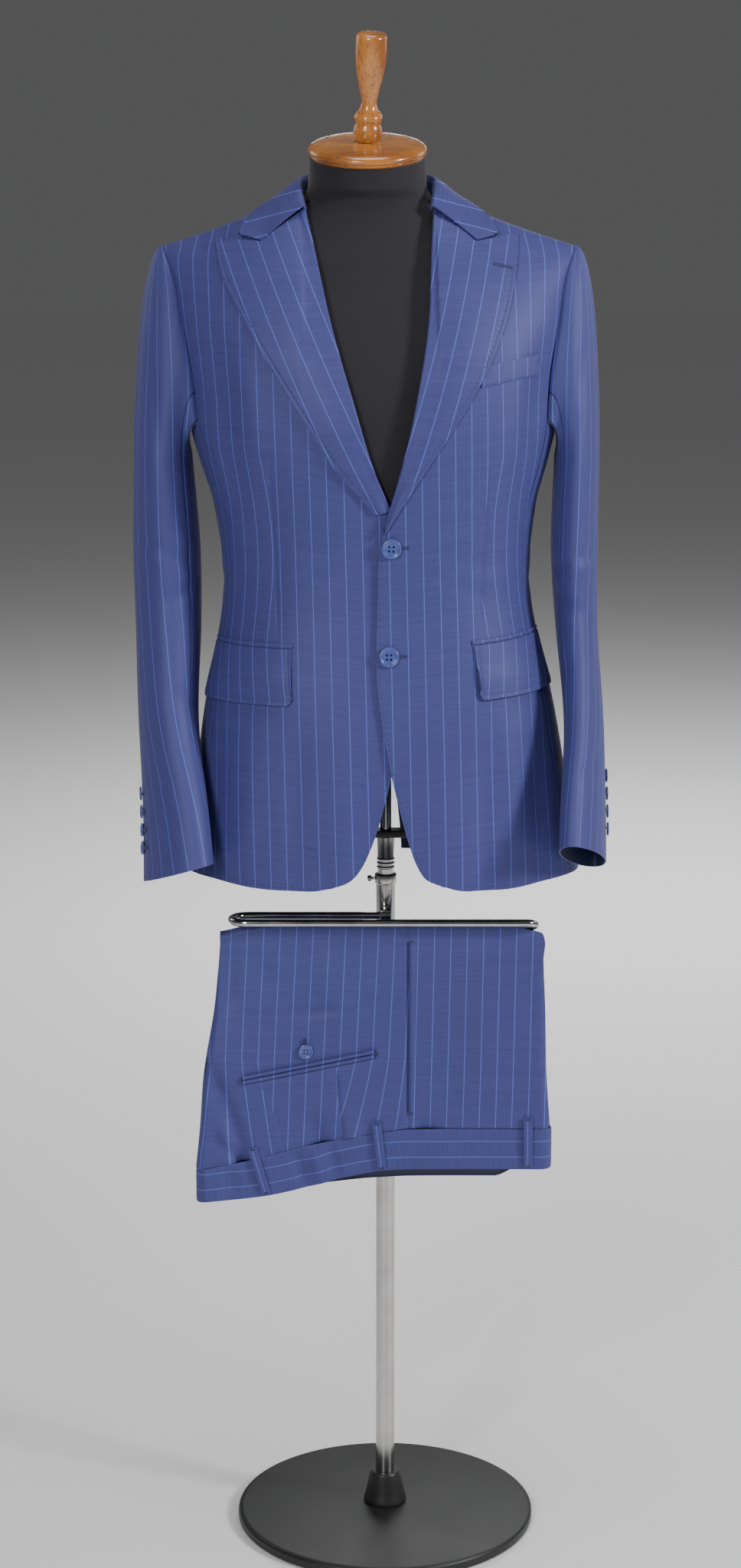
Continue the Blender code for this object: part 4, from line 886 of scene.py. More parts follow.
class Finish:
    """A material with its nodes."""

    def __init__(self, name, roughness, metallic=0.0, coat=0.0, coat_roughness=0.1, sheen=0.0, specular=0.5,
                 tint=(1.0, 1.0, 1.0)):
        self.material = bpy.data.materials.new(name)
        self.material.use_nodes = True
        self.tree = self.material.node_tree
        self.shader = self.tree.nodes["Principled BSDF"]
        for socket, value in (
            ("Roughness", roughness),
            ("Metallic", metallic),
            ("Coat Weight", coat),
            ("Coat Roughness", coat_roughness),
            ("Sheen Weight", sheen),
            ("Sheen Roughness", 0.4),
            ("Specular IOR Level", specular),
            ("Specular Tint", (*tint, 1.0)),
        ):
            self.shader.inputs[socket].default_value = value

    def put(self, socket, value):
        """Gives a socket a link or a plain value."""
        if isinstance(value, Value):
            value = value.socket
        if isinstance(value, bpy.types.NodeSocket):
            self.tree.links.new(value, socket)
        else:
            socket.default_value = value

    def node(self, kind, settings=None, sockets=None):
        """A node of one kind: its settings first, then its sockets by name or in order."""
        made = self.tree.nodes.new(kind)
        for key, value in (settings or {}).items():
            setattr(made, key, value)
        pairs = sockets.items() if isinstance(sockets, dict) else enumerate(sockets or ())
        for key, value in pairs:
            self.put(made.inputs[key], value)
        return made

    def value(self, node, output=0):
        return Value(self, node.outputs[output])

    def axes(self, vector):
        parts = self.node("ShaderNodeSeparateXYZ", {}, {"Vector": vector})
        return [self.value(parts, n) for n in range(3)]

    def vector(self, x, y, z):
        return self.node("ShaderNodeCombineXYZ", {}, (x, y, z)).outputs[0]

    def grain(self):
        """The cloth's own directions in metres: across the warp, and along it."""
        return self.axes(self.node("ShaderNodeUVMap", {"uv_map": "grain"}).outputs[0])[:2]

    def place(self):
        return self.node("ShaderNodeTexCoord").outputs["Object"]

    def noise(self, vector, scale=1.0, detail=1.0):
        sockets = {"Vector": vector, "Scale": scale, "Detail": detail, "Roughness": 0.5}
        return self.value(self.node("ShaderNodeTexNoise", {}, sockets))

    def streaks(self, x, y, z=0.0, detail=1.0):
        """Noise drawn out by scaling each axis."""
        return self.noise(self.vector(x, y, z), detail=detail)

    def blend(self, share, first, second):
        """A colour between two, each a plain colour or a link."""
        made = self.node("ShaderNodeMix", {"data_type": "RGBA"})
        self.put(made.inputs[0], share)
        for socket, colour in ((made.inputs[6], first), (made.inputs[7], second)):
            self.put(socket, (*colour, 1.0) if isinstance(colour, tuple) else colour)
        return made.outputs[2]

    def colour(self, value):
        self.put(self.shader.inputs["Base Color"], (*value, 1.0) if isinstance(value, tuple) else value)

    def roughness(self, value):
        self.put(self.shader.inputs["Roughness"], value)

    def bump(self, height, strength, distance):
        sockets = {"Strength": strength, "Distance": distance, "Height": height}
        self.put(self.shader.inputs["Normal"], self.node("ShaderNodeBump", {}, sockets).outputs[0])


STRIPE_PITCH = 0.0176
STRIPE_WIDTH = 0.0008
CLOTH_DARK = (0.037, 0.040, 0.150)
CLOTH_LIGHT = (0.074, 0.078, 0.255)
STRIPE_BLUE = (0.120, 0.165, 0.620)


def suit_cloth():
    """Worsted with slubs along the weft, and a soft light pinstripe along the warp."""
    cloth = Finish("suit_cloth", roughness=0.50, sheen=0.04, specular=0.38, tint=(0.62, 0.68, 1.0))
    across, along = cloth.grain()
    slubs = cloth.streaks(across * 55.0, along * 1150.0, detail=2.0)
    fine = cloth.streaks(across * 900.0, along * 2600.0)
    bands = cloth.streaks(across * 4.0, along * 260.0, 3.0, detail=2.0)
    clouds = cloth.noise(cloth.place(), scale=7.0, detail=2.0)
    tone = (slubs - 0.5) * 0.85 + (fine - 0.5) * 0.6 + (bands - 0.5) * 0.45 + (clouds - 0.5) * 0.35
    ground = cloth.blend(tone.maths("ADD", 0.5, clamp=True), CLOTH_DARK, CLOTH_LIGHT)
    off_line = across.maths("PINGPONG", STRIPE_PITCH / 2)
    thread = cloth.streaks(across * 150.0, along * 700.0, 5.0)
    stripe = off_line.within(STRIPE_WIDTH / 2, STRIPE_WIDTH * 0.7) * (thread * 0.5 + 0.52)
    cloth.colour(cloth.blend(stripe, ground, STRIPE_BLUE))
    cloth.roughness(0.44 + slubs * 0.18)
    cloth.bump(slubs * 0.6 + fine * 0.4, 0.30, 0.0003)
    return cloth.material


def lining():
    """Smooth dark lining, with a faint twill."""
    satin = Finish("lining", roughness=0.36, sheen=0.1)
    across, along = satin.grain()
    twill = satin.streaks(across * 600.0 + along * 600.0, along * 60.0)
    satin.colour(satin.blend(twill, (0.012, 0.018, 0.060), (0.022, 0.032, 0.095)))
    satin.bump(twill, 0.2, 0.0002)
    return satin.material


def sewing_thread(name, colour):
    """Twisted thread."""
    thread = Finish(name, roughness=0.55, sheen=0.3)
    twist = thread.noise(thread.place(), scale=2400.0)
    darker = tuple(part * 0.55 for part in colour)
    thread.colour(thread.blend(twist, darker, colour))
    thread.bump(twist, 0.4, 0.0002)
    return thread.material


def button_horn():
    """Polished dyed horn: cloudy blue with fine streaks."""
    horn = Finish("button_horn", roughness=0.26, coat=0.22, coat_roughness=0.15)
    clouds = horn.noise(horn.place(), scale=160.0, detail=3.0)
    x, _, z = horn.axes(horn.place())
    streaks = horn.streaks(x * 240.0, 0.0, z * 1500.0, detail=2.0)
    horn.colour(horn.blend(clouds * 0.6 + streaks * 0.4, (0.028, 0.042, 0.190), (0.105, 0.135, 0.430)))
    horn.roughness(0.18 + clouds * 0.16)
    return horn.material


def form_jersey():
    """Black stretch jersey, with a fine knit."""
    jersey = Finish("form_jersey", roughness=0.78, sheen=0.25, specular=0.3)
    x, y, z = jersey.axes(jersey.place())
    knit = jersey.streaks(x * 1300.0, y * 1300.0, z * 700.0)
    wide = jersey.noise(jersey.place(), scale=9.0, detail=2.0)
    jersey.colour(jersey.blend(knit * 0.7 + wide * 0.3, (0.009, 0.008, 0.011), (0.026, 0.023, 0.031)))
    jersey.roughness(0.68 + knit * 0.2)
    jersey.bump(knit, 0.35, 0.0004)
    return jersey.material


def turned_wood(name, upright):
    """Lacquered brown wood with dark pores and broad growth bands, its grain upright or level."""
    wood = Finish(name, roughness=0.28, coat=0.7, coat_roughness=0.08)
    x, y, z = wood.axes(wood.place())
    if not upright:
        x, z = z, x
    wander = wood.streaks(x * 14.0, y * 14.0, z * 4.0, detail=3.0)
    bands = ((x * 42.0 + y * 16.0 + wander * 5.0) * 2.0).maths("SINE") * 0.5 + 0.5
    pores = wood.streaks(x * 520.0, y * 520.0, z * 34.0, detail=2.0)
    fibres = wood.streaks(x * 190.0, y * 190.0, z * 10.0, detail=3.0)
    warm = wood.blend(bands * 0.65 + fibres * 0.35, (0.215, 0.062, 0.010), (0.690, 0.270, 0.058))
    pore = (0.47 - pores).maths("MULTIPLY", 9.0, clamp=True)
    wood.colour(wood.blend(pore * 0.5, warm, (0.075, 0.022, 0.005)))
    wood.roughness(0.22 + pore * 0.25)
    wood.bump(fibres - pore * 0.6, 0.12, 0.0003)
    return wood.material


def polished_metal():
    """Chrome, faintly brushed and a little dulled."""
    chrome = Finish("polished_metal", roughness=0.13, metallic=1.0)
    x, y, z = chrome.axes(chrome.place())
    wear = chrome.noise(chrome.place(), scale=45.0, detail=4.0)
    lines = chrome.streaks(x * 90.0, y * 90.0, z * 900.0)
    chrome.colour(chrome.blend(wear, (0.40, 0.385, 0.38), (0.66, 0.645, 0.635)))
    chrome.roughness(0.07 + wear * 0.12 + lines * 0.05)
    return chrome.material


def satin_black():
    """Powder-coated black metal."""
    coat = Finish("satin_black", roughness=0.42, metallic=0.3)
    grit = coat.noise(coat.place(), scale=1600.0)
    wear = coat.noise(coat.place(), scale=18.0, detail=4.0)
    coat.colour(coat.blend(wear, (0.012, 0.012, 0.013), (0.030, 0.030, 0.031)))
    coat.roughness(0.34 + wear * 0.2)
    coat.bump(grit, 0.25, 0.0002)
    return coat.material


# The floor pales from here to there, so that it meets the backdrop softly
FLOOR_NEAR, FLOOR_FAR = 1.5, 7.0
FLOOR_PALE, FLOOR_WHITE = (0.88, 0.88, 0.88), (0.99, 0.99, 0.99)


def floor_paint():
    floor = Finish("floor_paint", roughness=0.6)
    x, y, _ = floor.axes(floor.place())
    far = (x * x + y * y).maths("POWER", 0.5)
    cloud = floor.noise(floor.place(), scale=1.3, detail=3.0)
    distant = ((far - FLOOR_NEAR) * (1.0 / (FLOOR_FAR - FLOOR_NEAR))).maths("ADD", cloud * 0.05, clamp=True)
    floor.colour(floor.blend(distant, FLOOR_PALE, FLOOR_WHITE))
    return floor.material


# Modelling


def nothing_selected():
    if bpy.context.object and bpy.context.object.mode != "OBJECT":
        bpy.ops.object.mode_set(mode="OBJECT")
    bpy.ops.object.select_all(action="DESELECT")


def select(piece):
    nothing_selected()
    piece.select_set(True)
    bpy.context.view_layer.objects.active = piece


def apply_modifier(piece, kind, **settings):
    made = piece.modifiers.new(kind.title(), kind)
    for key, value in settings.items():
        setattr(made, key, value)
    bpy.context.view_layer.objects.active = piece
    bpy.ops.object.modifier_apply(modifier=made.name)


def smooth(piece, angle=35.0):
    select(piece)
    bpy.ops.object.shade_smooth_by_angle(angle=math.radians(angle))


def settle(piece, name, slot, node, *materials):
    """Names a finished piece, dresses it and fixes it to the object."""
    piece.name = name
    if materials:
        piece.data.materials.clear()
        for made in materials:
            piece.data.materials.append(made)
    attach(piece, "root")
    if node:
        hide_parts(node)
    return piece


def as_sheet(piece):
    """Looks up the cut of a cloth piece in CUTS, and does nothing more with it."""
    width, length, area = CUTS[piece.name]


def in_edit(piece, *steps):
    """Runs mesh operators on all of a piece in edit mode."""
    select(piece)
    bpy.ops.object.mode_set(mode="EDIT")
    bpy.ops.mesh.select_all(action="SELECT")
    for step, settings in steps:
        step(**settings)
    bpy.ops.object.mode_set(mode="OBJECT")


def close_ends(piece):
    """Fills the open ends of a tube and turns its faces outwards."""
    in_edit(piece, (bpy.ops.mesh.select_all, {"action": "DESELECT"}), (bpy.ops.mesh.select_non_manifold, {}),
            (bpy.ops.mesh.fill_holes, {"sides": 0}), (bpy.ops.mesh.select_all, {"action": "SELECT"}),
            (bpy.ops.mesh.normals_make_consistent, {"inside": False}))


def extrude_rings(profile, sides):
    """A turned piece, drawn up from a disc: each row of the profile is a height and a radius."""
    nothing_selected()
    bottom, first = profile[0]
    bpy.ops.mesh.primitive_circle_add(vertices=sides, radius=first, fill_type="NGON", location=(0, 0, bottom))
    piece = bpy.context.object
    bpy.ops.object.mode_set(mode="EDIT")
    bpy.ops.mesh.select_all(action="SELECT")
    for (low, before), (high, after) in zip(profile, profile[1:]):
        bpy.ops.mesh.extrude_region_move(TRANSFORM_OT_translate={"value": (0, 0, high - low)})
        share = after / before
        bpy.ops.transform.resize(value=(share, share, 1), center_override=(0, 0, high))
    bpy.ops.mesh.select_all(action="SELECT")
    bpy.ops.mesh.normals_make_consistent(inside=False)
    bpy.ops.object.mode_set(mode="OBJECT")
    bpy.ops.object.transform_apply(location=True, rotation=True, scale=True)
    return piece


def sized(profile, height, radius):
    return [(high * height, share * radius) for high, share in profile]


def spread(start, end, count, crowd=0.7):
    """Places from start to end, closer together towards both."""
    steps = np.linspace(0.0, 1.0, count + 1)
    return start + (end - start) * (steps - crowd * np.sin(2 * np.pi * steps) / (2 * np.pi))


def grid_normals(points):
    normals = np.cross(np.gradient(points, axis=1), np.gradient(points, axis=0))
    return normals / np.maximum(np.linalg.norm(normals, axis=2, keepdims=True), 1e-12)


def running_lengths(points, first_across=0.0):
    """Lengths along a grid's rows, from first_across on, and up its columns, from the first row's height."""
    rows = np.cumsum(np.linalg.norm(np.diff(points, axis=1), axis=2), axis=1)
    columns = np.cumsum(np.linalg.norm(np.diff(points, axis=0), axis=2), axis=0)
    across = np.concatenate([np.zeros((len(points), 1)), rows], axis=1) + first_across
    along = np.concatenate([np.zeros((1, points.shape[1])), columns], axis=0) + points[:1, :, 2]
    return across, along


def row_share(points):
    """Each row's share of the way from the first row to the last."""
    return np.linspace(0, 1, points.shape[0])[:, None]


def grid_piece(points, across, along, facing=1, closed=False):
    """A sheet of faces through a grid of points, with the cloth's grain as its UV map in metres."""
    high, wide = points.shape[:2]
    nothing_selected()
    bpy.ops.mesh.primitive_grid_add(x_subdivisions=wide - 1, y_subdivisions=high - 1, size=1)
    piece = bpy.context.object
    mesh = piece.data
    mesh.vertices.foreach_set("co", points.reshape(-1).astype(np.float32))
    corners = np.empty(len(mesh.loops), np.int32)
    mesh.loops.foreach_get("vertex_index", corners)
    grain = np.stack([across.reshape(-1), along.reshape(-1)], axis=1)[corners]
    mesh.uv_layers[0].name = "grain"
    mesh.uv_layers["grain"].data.foreach_set("uv", grain.reshape(-1).astype(np.float32))
    mesh.update()
    steps = []
    if closed:
        steps.append((bpy.ops.mesh.remove_doubles, {"threshold": 0.00002}))
    if facing < 0:
        steps.append((bpy.ops.mesh.flip_normals, {}))
    if steps:
        in_edit(piece, *steps)
    return piece


class Cloth:
    """What the cloth pieces share."""

    def __init__(self):
        self.outer, self.inner = suit_cloth(), lining()

    def sew(self, name, surface, columns, rows, wall, node, held, rests_on, facing=1, closed=False,
            grain=running_lengths, relief=None, phase=0.0):
        """A cloth piece on surface(u, v): its seams and creases pressed in, its wall turned inwards."""
        points = np.array([[surface(u, v) for u in columns] for v in rows], float)
        across, along = grain(points)
        if relief:
            points = points + (grid_normals(points) * facing) * relief(points, across, along)[..., None]
        if closed:
            points[:, -1] = points[:, 0]
        piece = grid_piece(points, across + phase, along, facing, closed)
        piece.data.materials.append(self.outer)
        piece.data.materials.append(self.inner)
        apply_modifier(piece, "SOLIDIFY", thickness=wall, offset=-1.0, material_offset=1, use_rim=True)
        settle(piece, name, "suit_cloth", node)
        smooth(piece)
        as_sheet(piece)


# Relief pressed into cloth: distances in metres, negative inwards


def dip(distance, width, depth):
    return depth * np.exp(-((distance / width) ** 2))


def seam_dips(across, along, sides, width=0.0016, depth=-0.0008):
    """The cloth turns in at its sewn edges: l and r across the grain, b and t along it."""
    gaps = {
        "l": across - across[:, :1],
        "r": across[:, -1:] - across,
        "b": along - along[:1],
        "t": along[-1:] - along,
    }
    return sum(dip(gaps[side], width, depth) for side in sides)


def fold(points, start, end, width, depth, axes=(0, 2)):
    """A soft fold between two places, fading towards its ends and sides: a trough where depth is negative."""
    flat = points[..., list(axes)]
    start, way = np.array(start), np.array(end) - np.array(start)
    share = ((flat - start) @ way) / (way @ way)
    off = np.linalg.norm(flat - start - np.clip(share, 0, 1)[..., None] * way, axis=-1)
    return depth * np.clip(1 - (2 * share - 1) ** 2, 0, 1) * np.exp(-((off / width) ** 2))


def folds(points, rows, axes=(0, 2)):
    return sum(fold(points, (a, b), (c, d), width, depth, axes) for a, b, c, d, width, depth in rows)


# Jacket cloth

# Front darts: top x and height, lower x and height
DARTS = {1: (0.1056, 1.1997, 0.0984, 1.0134), -1: (-0.1206, 1.2075, -0.1124, 1.0103)}
DART_COLUMN = 0.73
DART_INTAKE = 0.009
HEM_CORNER_CUT = 0.0026

# Soft folds: start x and height, end x and height, width, depth
FRONT_FOLDS = {
    1: (
        (0.166, 1.335, 0.140, 1.140, 0.0150, -0.0032),
        (0.140, 1.320, 0.118, 1.160, 0.0150, 0.0016),
        (0.015, 1.112, 0.135, 1.085, 0.0080, -0.0012),
        (0.015, 1.096, 0.120, 1.050, 0.0070, -0.0010),
        (0.030, 1.180, 0.085, 1.270, 0.0140, 0.0014),
        (0.108, 0.935, 0.100, 0.720, 0.0130, -0.0030),
        (0.135, 0.940, 0.132, 0.720, 0.0130, 0.0026),
        (0.160, 0.930, 0.166, 0.720, 0.0120, -0.0026),
        (0.050, 0.960, 0.062, 0.720, 0.0200, 0.0018),
    ),
    -1: (
        (-0.176, 1.335, -0.150, 1.130, 0.0150, -0.0034),
        (-0.150, 1.320, -0.130, 1.150, 0.0150, 0.0016),
        (-0.012, 1.116, -0.140, 1.100, 0.0080, -0.0012),
        (-0.012, 1.100, -0.120, 1.050, 0.0070, -0.0010),
        (-0.050, 1.180, -0.100, 1.280, 0.0150, 0.0012),
        (-0.090, 0.940, -0.098, 0.720, 0.0150, -0.0020),
        (-0.140, 0.940, -0.152, 0.720, 0.0180, 0.0030),
        (-0.176, 0.930, -0.186, 0.720, 0.0120, -0.0020),
        (-0.040, 0.940, -0.046, 0.720, 0.0160, 0.0014),
    ),
}
BACK_FOLDS = (
    (0.060, 1.380, 0.120, 1.230, 0.0200, -0.0022),
    (0.165, 1.330, 0.150, 1.160, 0.0140, -0.0030),
    (0.020, 1.070, 0.130, 1.055, 0.0100, -0.0016),
    (0.030, 1.035, 0.120, 1.015, 0.0090, -0.0012),
    (0.080, 0.960, 0.090, 0.720, 0.0180, 0.0024),
    (0.130, 0.940, 0.145, 0.720, 0.0150, -0.0020),
)

# Soft folds of the side panels: start y and height, end y and height, width, depth
SIDE_FOLDS = (
    (0.030, 1.050, -0.030, 1.075, 0.0080, -0.0014),
    (0.034, 1.090, -0.020, 1.110, 0.0090, -0.0012),
    (0.010, 1.000, 0.014, 0.760, 0.0120, 0.0014),
    (-0.020, 1.220, -0.006, 1.140, 0.0100, -0.0014),
)


def edge_reach(side, points):
    """How far each row's front edge lies from the jacket's middle line."""
    return np.array([[side * (row[0][0] - middle_x(row[0][2]))] for row in points])


def dart_share(side, v):
    """How far across the panel the dart lies at v."""
    top_x, top_z, low_x, low_z = DARTS[side]
    z = min(max(mix(HEM_Z, ARMPIT_Z, v / ARMPIT_SHARE), low_z), top_z)
    x = mix(low_x, top_x, (z - low_z) / (top_z - low_z))
    inner = read(FRONT_EDGE[side], z)
    outer = middle_x(z) + side * SEAM_SHARE * read(BODY, z, 1)
    return (x - inner) / (outer - inner)


def front_cloth(side, u, v):
    """The front panel: one column of the grid follows the dart, and the hem's corner is round."""
    share = u / DART_COLUMN if u < DART_COLUMN else (1 - u) / (1 - DART_COLUMN)
    point = front_surface(side, u + (dart_share(side, v) - DART_COLUMN) * share, v)
    point.z += HEM_CORNER_CUT * math.exp(-((u / 0.07) ** 2) - (v / 0.014) ** 2)
    return point


def beyond_dart(side, points):
    """How much of the dart's intake lies between the middle line and each point."""
    top_x, top_z, low_x, low_z = DARTS[side]
    z = points[..., 2]
    share = np.clip((z - low_z) / (top_z - low_z), 0, 1)
    x = low_x + (top_x - low_x) * share
    return np.where(side * (points[..., 0] - x) > 0.0002, DART_INTAKE * np.sin(np.pi * share), 0.0)


def sew_fronts(cloth):
    columns = np.concatenate([spread(0, DART_COLUMN, 52), spread(DART_COLUMN, 1, 26)[1:]])
    rows = spread(0, 1, 150, 0.55)
    for side, name in SIDES:
        top, low = DARTS[side][:2], DARTS[side][2:]

        def grain(points):
            across, along = running_lengths(points, edge_reach(side, points))
            return across + beyond_dart(side, points), along

        def relief(points, across, along):
            pressed = folds(points, FRONT_FOLDS[side])
            pressed += fold(points, top, low, 0.0014, -0.0011) + fold(points, top, low, 0.0100, -0.0010)
            return pressed + seam_dips(across, along, "rt", width=0.0020, depth=-0.0005)

        cloth.sew(f"front_{name}", partial(front_cloth, side), columns, rows, JACKET_WALL,
                  f"jacket_front_{name}", "draped", "dress_form", side, grain=grain, relief=relief,
                  phase=FRONT_PHASE)


def side_relief(points, across, along):
    return folds(points, SIDE_FOLDS, axes=(1, 2)) + seam_dips(across, along, "lrt")


def sew_sides_and_backs(cloth):
    rows = spread(0, 1, 110, 0.55)
    for side, name in SIDES:

        def back_relief(points, across, along):
            pressed = folds(points * np.array([side, 1, 1]), BACK_FOLDS) + seam_dips(across, along, "rt")
            above_vent = points[..., 2] > VENT_TOP_Z - 0.004
            return pressed + np.where(above_vent, seam_dips(across, along, "l"), 0)

        cloth.sew(f"side_{name}", partial(side_surface, side), spread(0, 1, 26), rows, JACKET_WALL,
                  f"jacket_side_{name}", "draped", "dress_form", side, relief=side_relief, phase=FRONT_PHASE)
        cloth.sew(f"back_{name}", partial(back_surface, side), spread(0, 1, 56), rows, JACKET_WALL,
                  f"jacket_back_{name}", "draped", "dress_form", -side, relief=back_relief,
                  phase=STRIPE_PITCH / 2)


# Lapels and collar

LAPEL_LEAN = {1: (0.17, 0.42), -1: (0.40, 0.28)}
LAPEL_TOP_Z = 1.42
ROLL_RADIUS = 0.0021
ROLL_TURN = math.radians(150)
STITCH_INSET = 0.0045


def lapel_cloth(side, u, v):
    """The lapel's face, which at u below 0 rolls back round the front's edge."""
    face = lapel_surface(side, max(u, 0.0), v)
    if u >= 0:
        return face
    beside = lapel_surface(side, 0.02, v)
    inward = (face - beside).normalized()
    out = chest_normal(face.x, face.z)
    turn = -u * ROLL_TURN
    return face - out * ROLL_RADIUS * (1 - math.cos(turn)) + inward * ROLL_RADIUS * math.sin(turn)


def lapel_grain(side, points):
    """The lapel's stripes lean with its edge, and more towards the break."""
    first, more = LAPEL_LEAN[side]
    drop = LAPEL_TOP_Z - points[..., 2]
    lean = np.arctan(first + 2 * more * drop)
    line = first * drop + more * drop**2
    across = (side * points[..., 0] + line) * np.cos(lean)
    return across, points[..., 2] / np.cos(lean)


def lapel_relief(points, across, along):
    off_edge = np.linalg.norm(points - points[:, -1:], axis=2)
    return dip(off_edge - STITCH_INSET, 0.0014, -0.00035) + dip(off_edge, 0.0012, -0.0003)


def sew_lapels(cloth):
    columns = np.concatenate([np.linspace(-1, 0, 9)[:-1], spread(0, 1, 44, 0.6)])
    rows = spread(0, 1, 120, 0.5)
    for side, name in SIDES:
        cloth.sew(f"lapel_face_{name}", partial(lapel_cloth, side), columns, rows, LAPEL_WALL,
                  f"lapel_{name}", "folded", "dress_form", side, relief=lapel_relief,
                  grain=partial(lapel_grain, side))


# The collar's stripes run down it at the back. Between these distances from the back they turn nearly level.
COLLAR_TURN = (0.040, 0.095)
COLLAR_LEAN = math.radians(14)
COLLAR_FOLD_SHARE = 0.28
COLLAR_MIDDLE_SHARE = 0.68


def rounded(first, corner, last, share):
    """A point on the curve from first to last that rounds the corner."""
    return first.lerp(corner, share).lerp(corner.lerp(last, share), share)


def collar_cloth(u, v):
    """The collar, as its solid, with a round fold and a leaf that curves over the shoulder."""
    fold_line, foot, edge, middle = collar_section(2 * v - 1)
    ends = smooth_step(0.86, 1.0, abs(2 * v - 1))

    def straight(u):
        if u < COLLAR_FOLD_SHARE:
            return foot.lerp(fold_line, u / COLLAR_FOLD_SHARE)
        if u < COLLAR_MIDDLE_SHARE:
            share = (u - COLLAR_FOLD_SHARE) / (COLLAR_MIDDLE_SHARE - COLLAR_FOLD_SHARE)
            return fold_line.lerp(middle, share) + Vector((0, 0, 0.0008 * math.sin(math.pi * share)))
        return middle.lerp(edge, (u - COLLAR_MIDDLE_SHARE) / (1 - COLLAR_MIDDLE_SHARE))

    for corner_share, corner, reach in (
        (COLLAR_FOLD_SHARE, fold_line, 0.07),
        (COLLAR_MIDDLE_SHARE, middle, 0.16 * (1 - ends) + 0.004),
    ):
        if abs(u - corner_share) < reach:
            share = (u - corner_share + reach) / (2 * reach)
            return rounded(straight(corner_share - reach), corner, straight(corner_share + reach), share)
    return straight(u)


def collar_relief(points, across, along):
    off_edge = np.linalg.norm(points - points[:, -1:], axis=2)
    return LAPEL_WALL + dip(off_edge - STITCH_INSET, 0.0014, -0.0003)


def collar_grain(points):
    """Stripes that run down the collar at the back and turn nearly level round the neck."""
    width = running_lengths(points)[0]
    line = points[:, 14]
    length = np.concatenate([[0.0], np.cumsum(np.linalg.norm(np.diff(line, axis=0), axis=1))])
    length = np.abs(length - length[len(length) // 2])[:, None]
    side = np.sign(points[..., 0] - middle_x(COLLAR_CORNER[1]))
    level = side * math.sin(COLLAR_LEAN) * points[..., 0] + math.cos(COLLAR_LEAN) * points[..., 2]
    level = COLLAR_CORNER[1] - level + COLLAR_TURN[1]
    share = np.clip((length - COLLAR_TURN[0]) / (COLLAR_TURN[1] - COLLAR_TURN[0]), 0, 1)
    share = share * share * (3 - 2 * share)
    return length * (1 - share) + level * share, width


def sew_collar(cloth):
    round_fold = np.linspace(0.21, 0.36, 12)[1:]
    columns = np.concatenate([spread(0, 0.21, 6, 0.0), round_fold, spread(0.36, 1, 30, 0.4)[1:]])
    cloth.sew("collar_leaf", collar_cloth, columns, spread(0, 1, 170, 0.6), LAPEL_WALL, "collar", "folded",
              "dress_form", -1, grain=collar_grain, relief=collar_relief)


# Pockets


def girth(x, z, steps=24):
    """Length round the jacket's front from its middle line to x, at one height."""
    start = middle_x(z)
    line = [chest_point(mix(start, x, n / steps), z) for n in range(steps + 1)]
    return sum((b - a).length for a, b in zip(line, line[1:]))


def matched_grain(side, points):
    """Grain whose stripes meet those of the front under it."""
    first = np.array([[girth(row[0][0], row[0][2])] for row in points])
    across, along = running_lengths(points, first)
    return across + beyond_dart(side, points), along


def jet_relief(points, across, along):
    return np.broadcast_to(0.0007 * np.sin(np.pi * row_share(points)) - 0.0003, across.shape)


def welt_relief(points, across, along):
    return seam_dips(across, along, "lrb", width=0.0010, depth=-0.0006) + 0.0003


def sew_jacket_pockets(cloth):
    for side, name in SIDES:
        shape = FLAPS[side]

        def flap_relief(points, across, along):
            off_end = np.linalg.norm(points - points[:, :1], axis=2)
            off_foot = np.linalg.norm(points - points[:1], axis=2)
            pressed = dip(off_end - 0.004, 0.0013, -0.0003) + dip(off_foot - 0.004, 0.0013, -0.0003)
            return pressed + fold(points, (side * 0.06, 0.97), (side * 0.16, 0.975), 0.012, 0.0008)

        cloth.sew(f"flap_{name}", partial(flap_surface, side, shape), spread(0, 1, 64, 0.5),
                  spread(0, 1, 20, 0.5), POCKET_WALL, f"pocket_flap_{name}", "hung", f"front_{name}", side,
                  relief=flap_relief, grain=partial(matched_grain, side), phase=FRONT_PHASE)
        cloth.sew(f"jet_{name}", partial(jet_surface, side, shape), spread(0, 1, 60, 0.4),
                  spread(0, 1, 8, 0.2), POCKET_WALL, f"pocket_jet_{name}", "folded", f"front_{name}", side,
                  relief=jet_relief, phase=JET_PHASE)
    cloth.sew("breast_welt", breast_surface, spread(0, 1, 30, 0.5), spread(0, 1, 14, 0.5), POCKET_WALL,
              "breast_pocket_welt", "folded", "front_left", 1, relief=welt_relief,
              grain=partial(matched_grain, 1), phase=WELT_PHASE)


# Sleeves

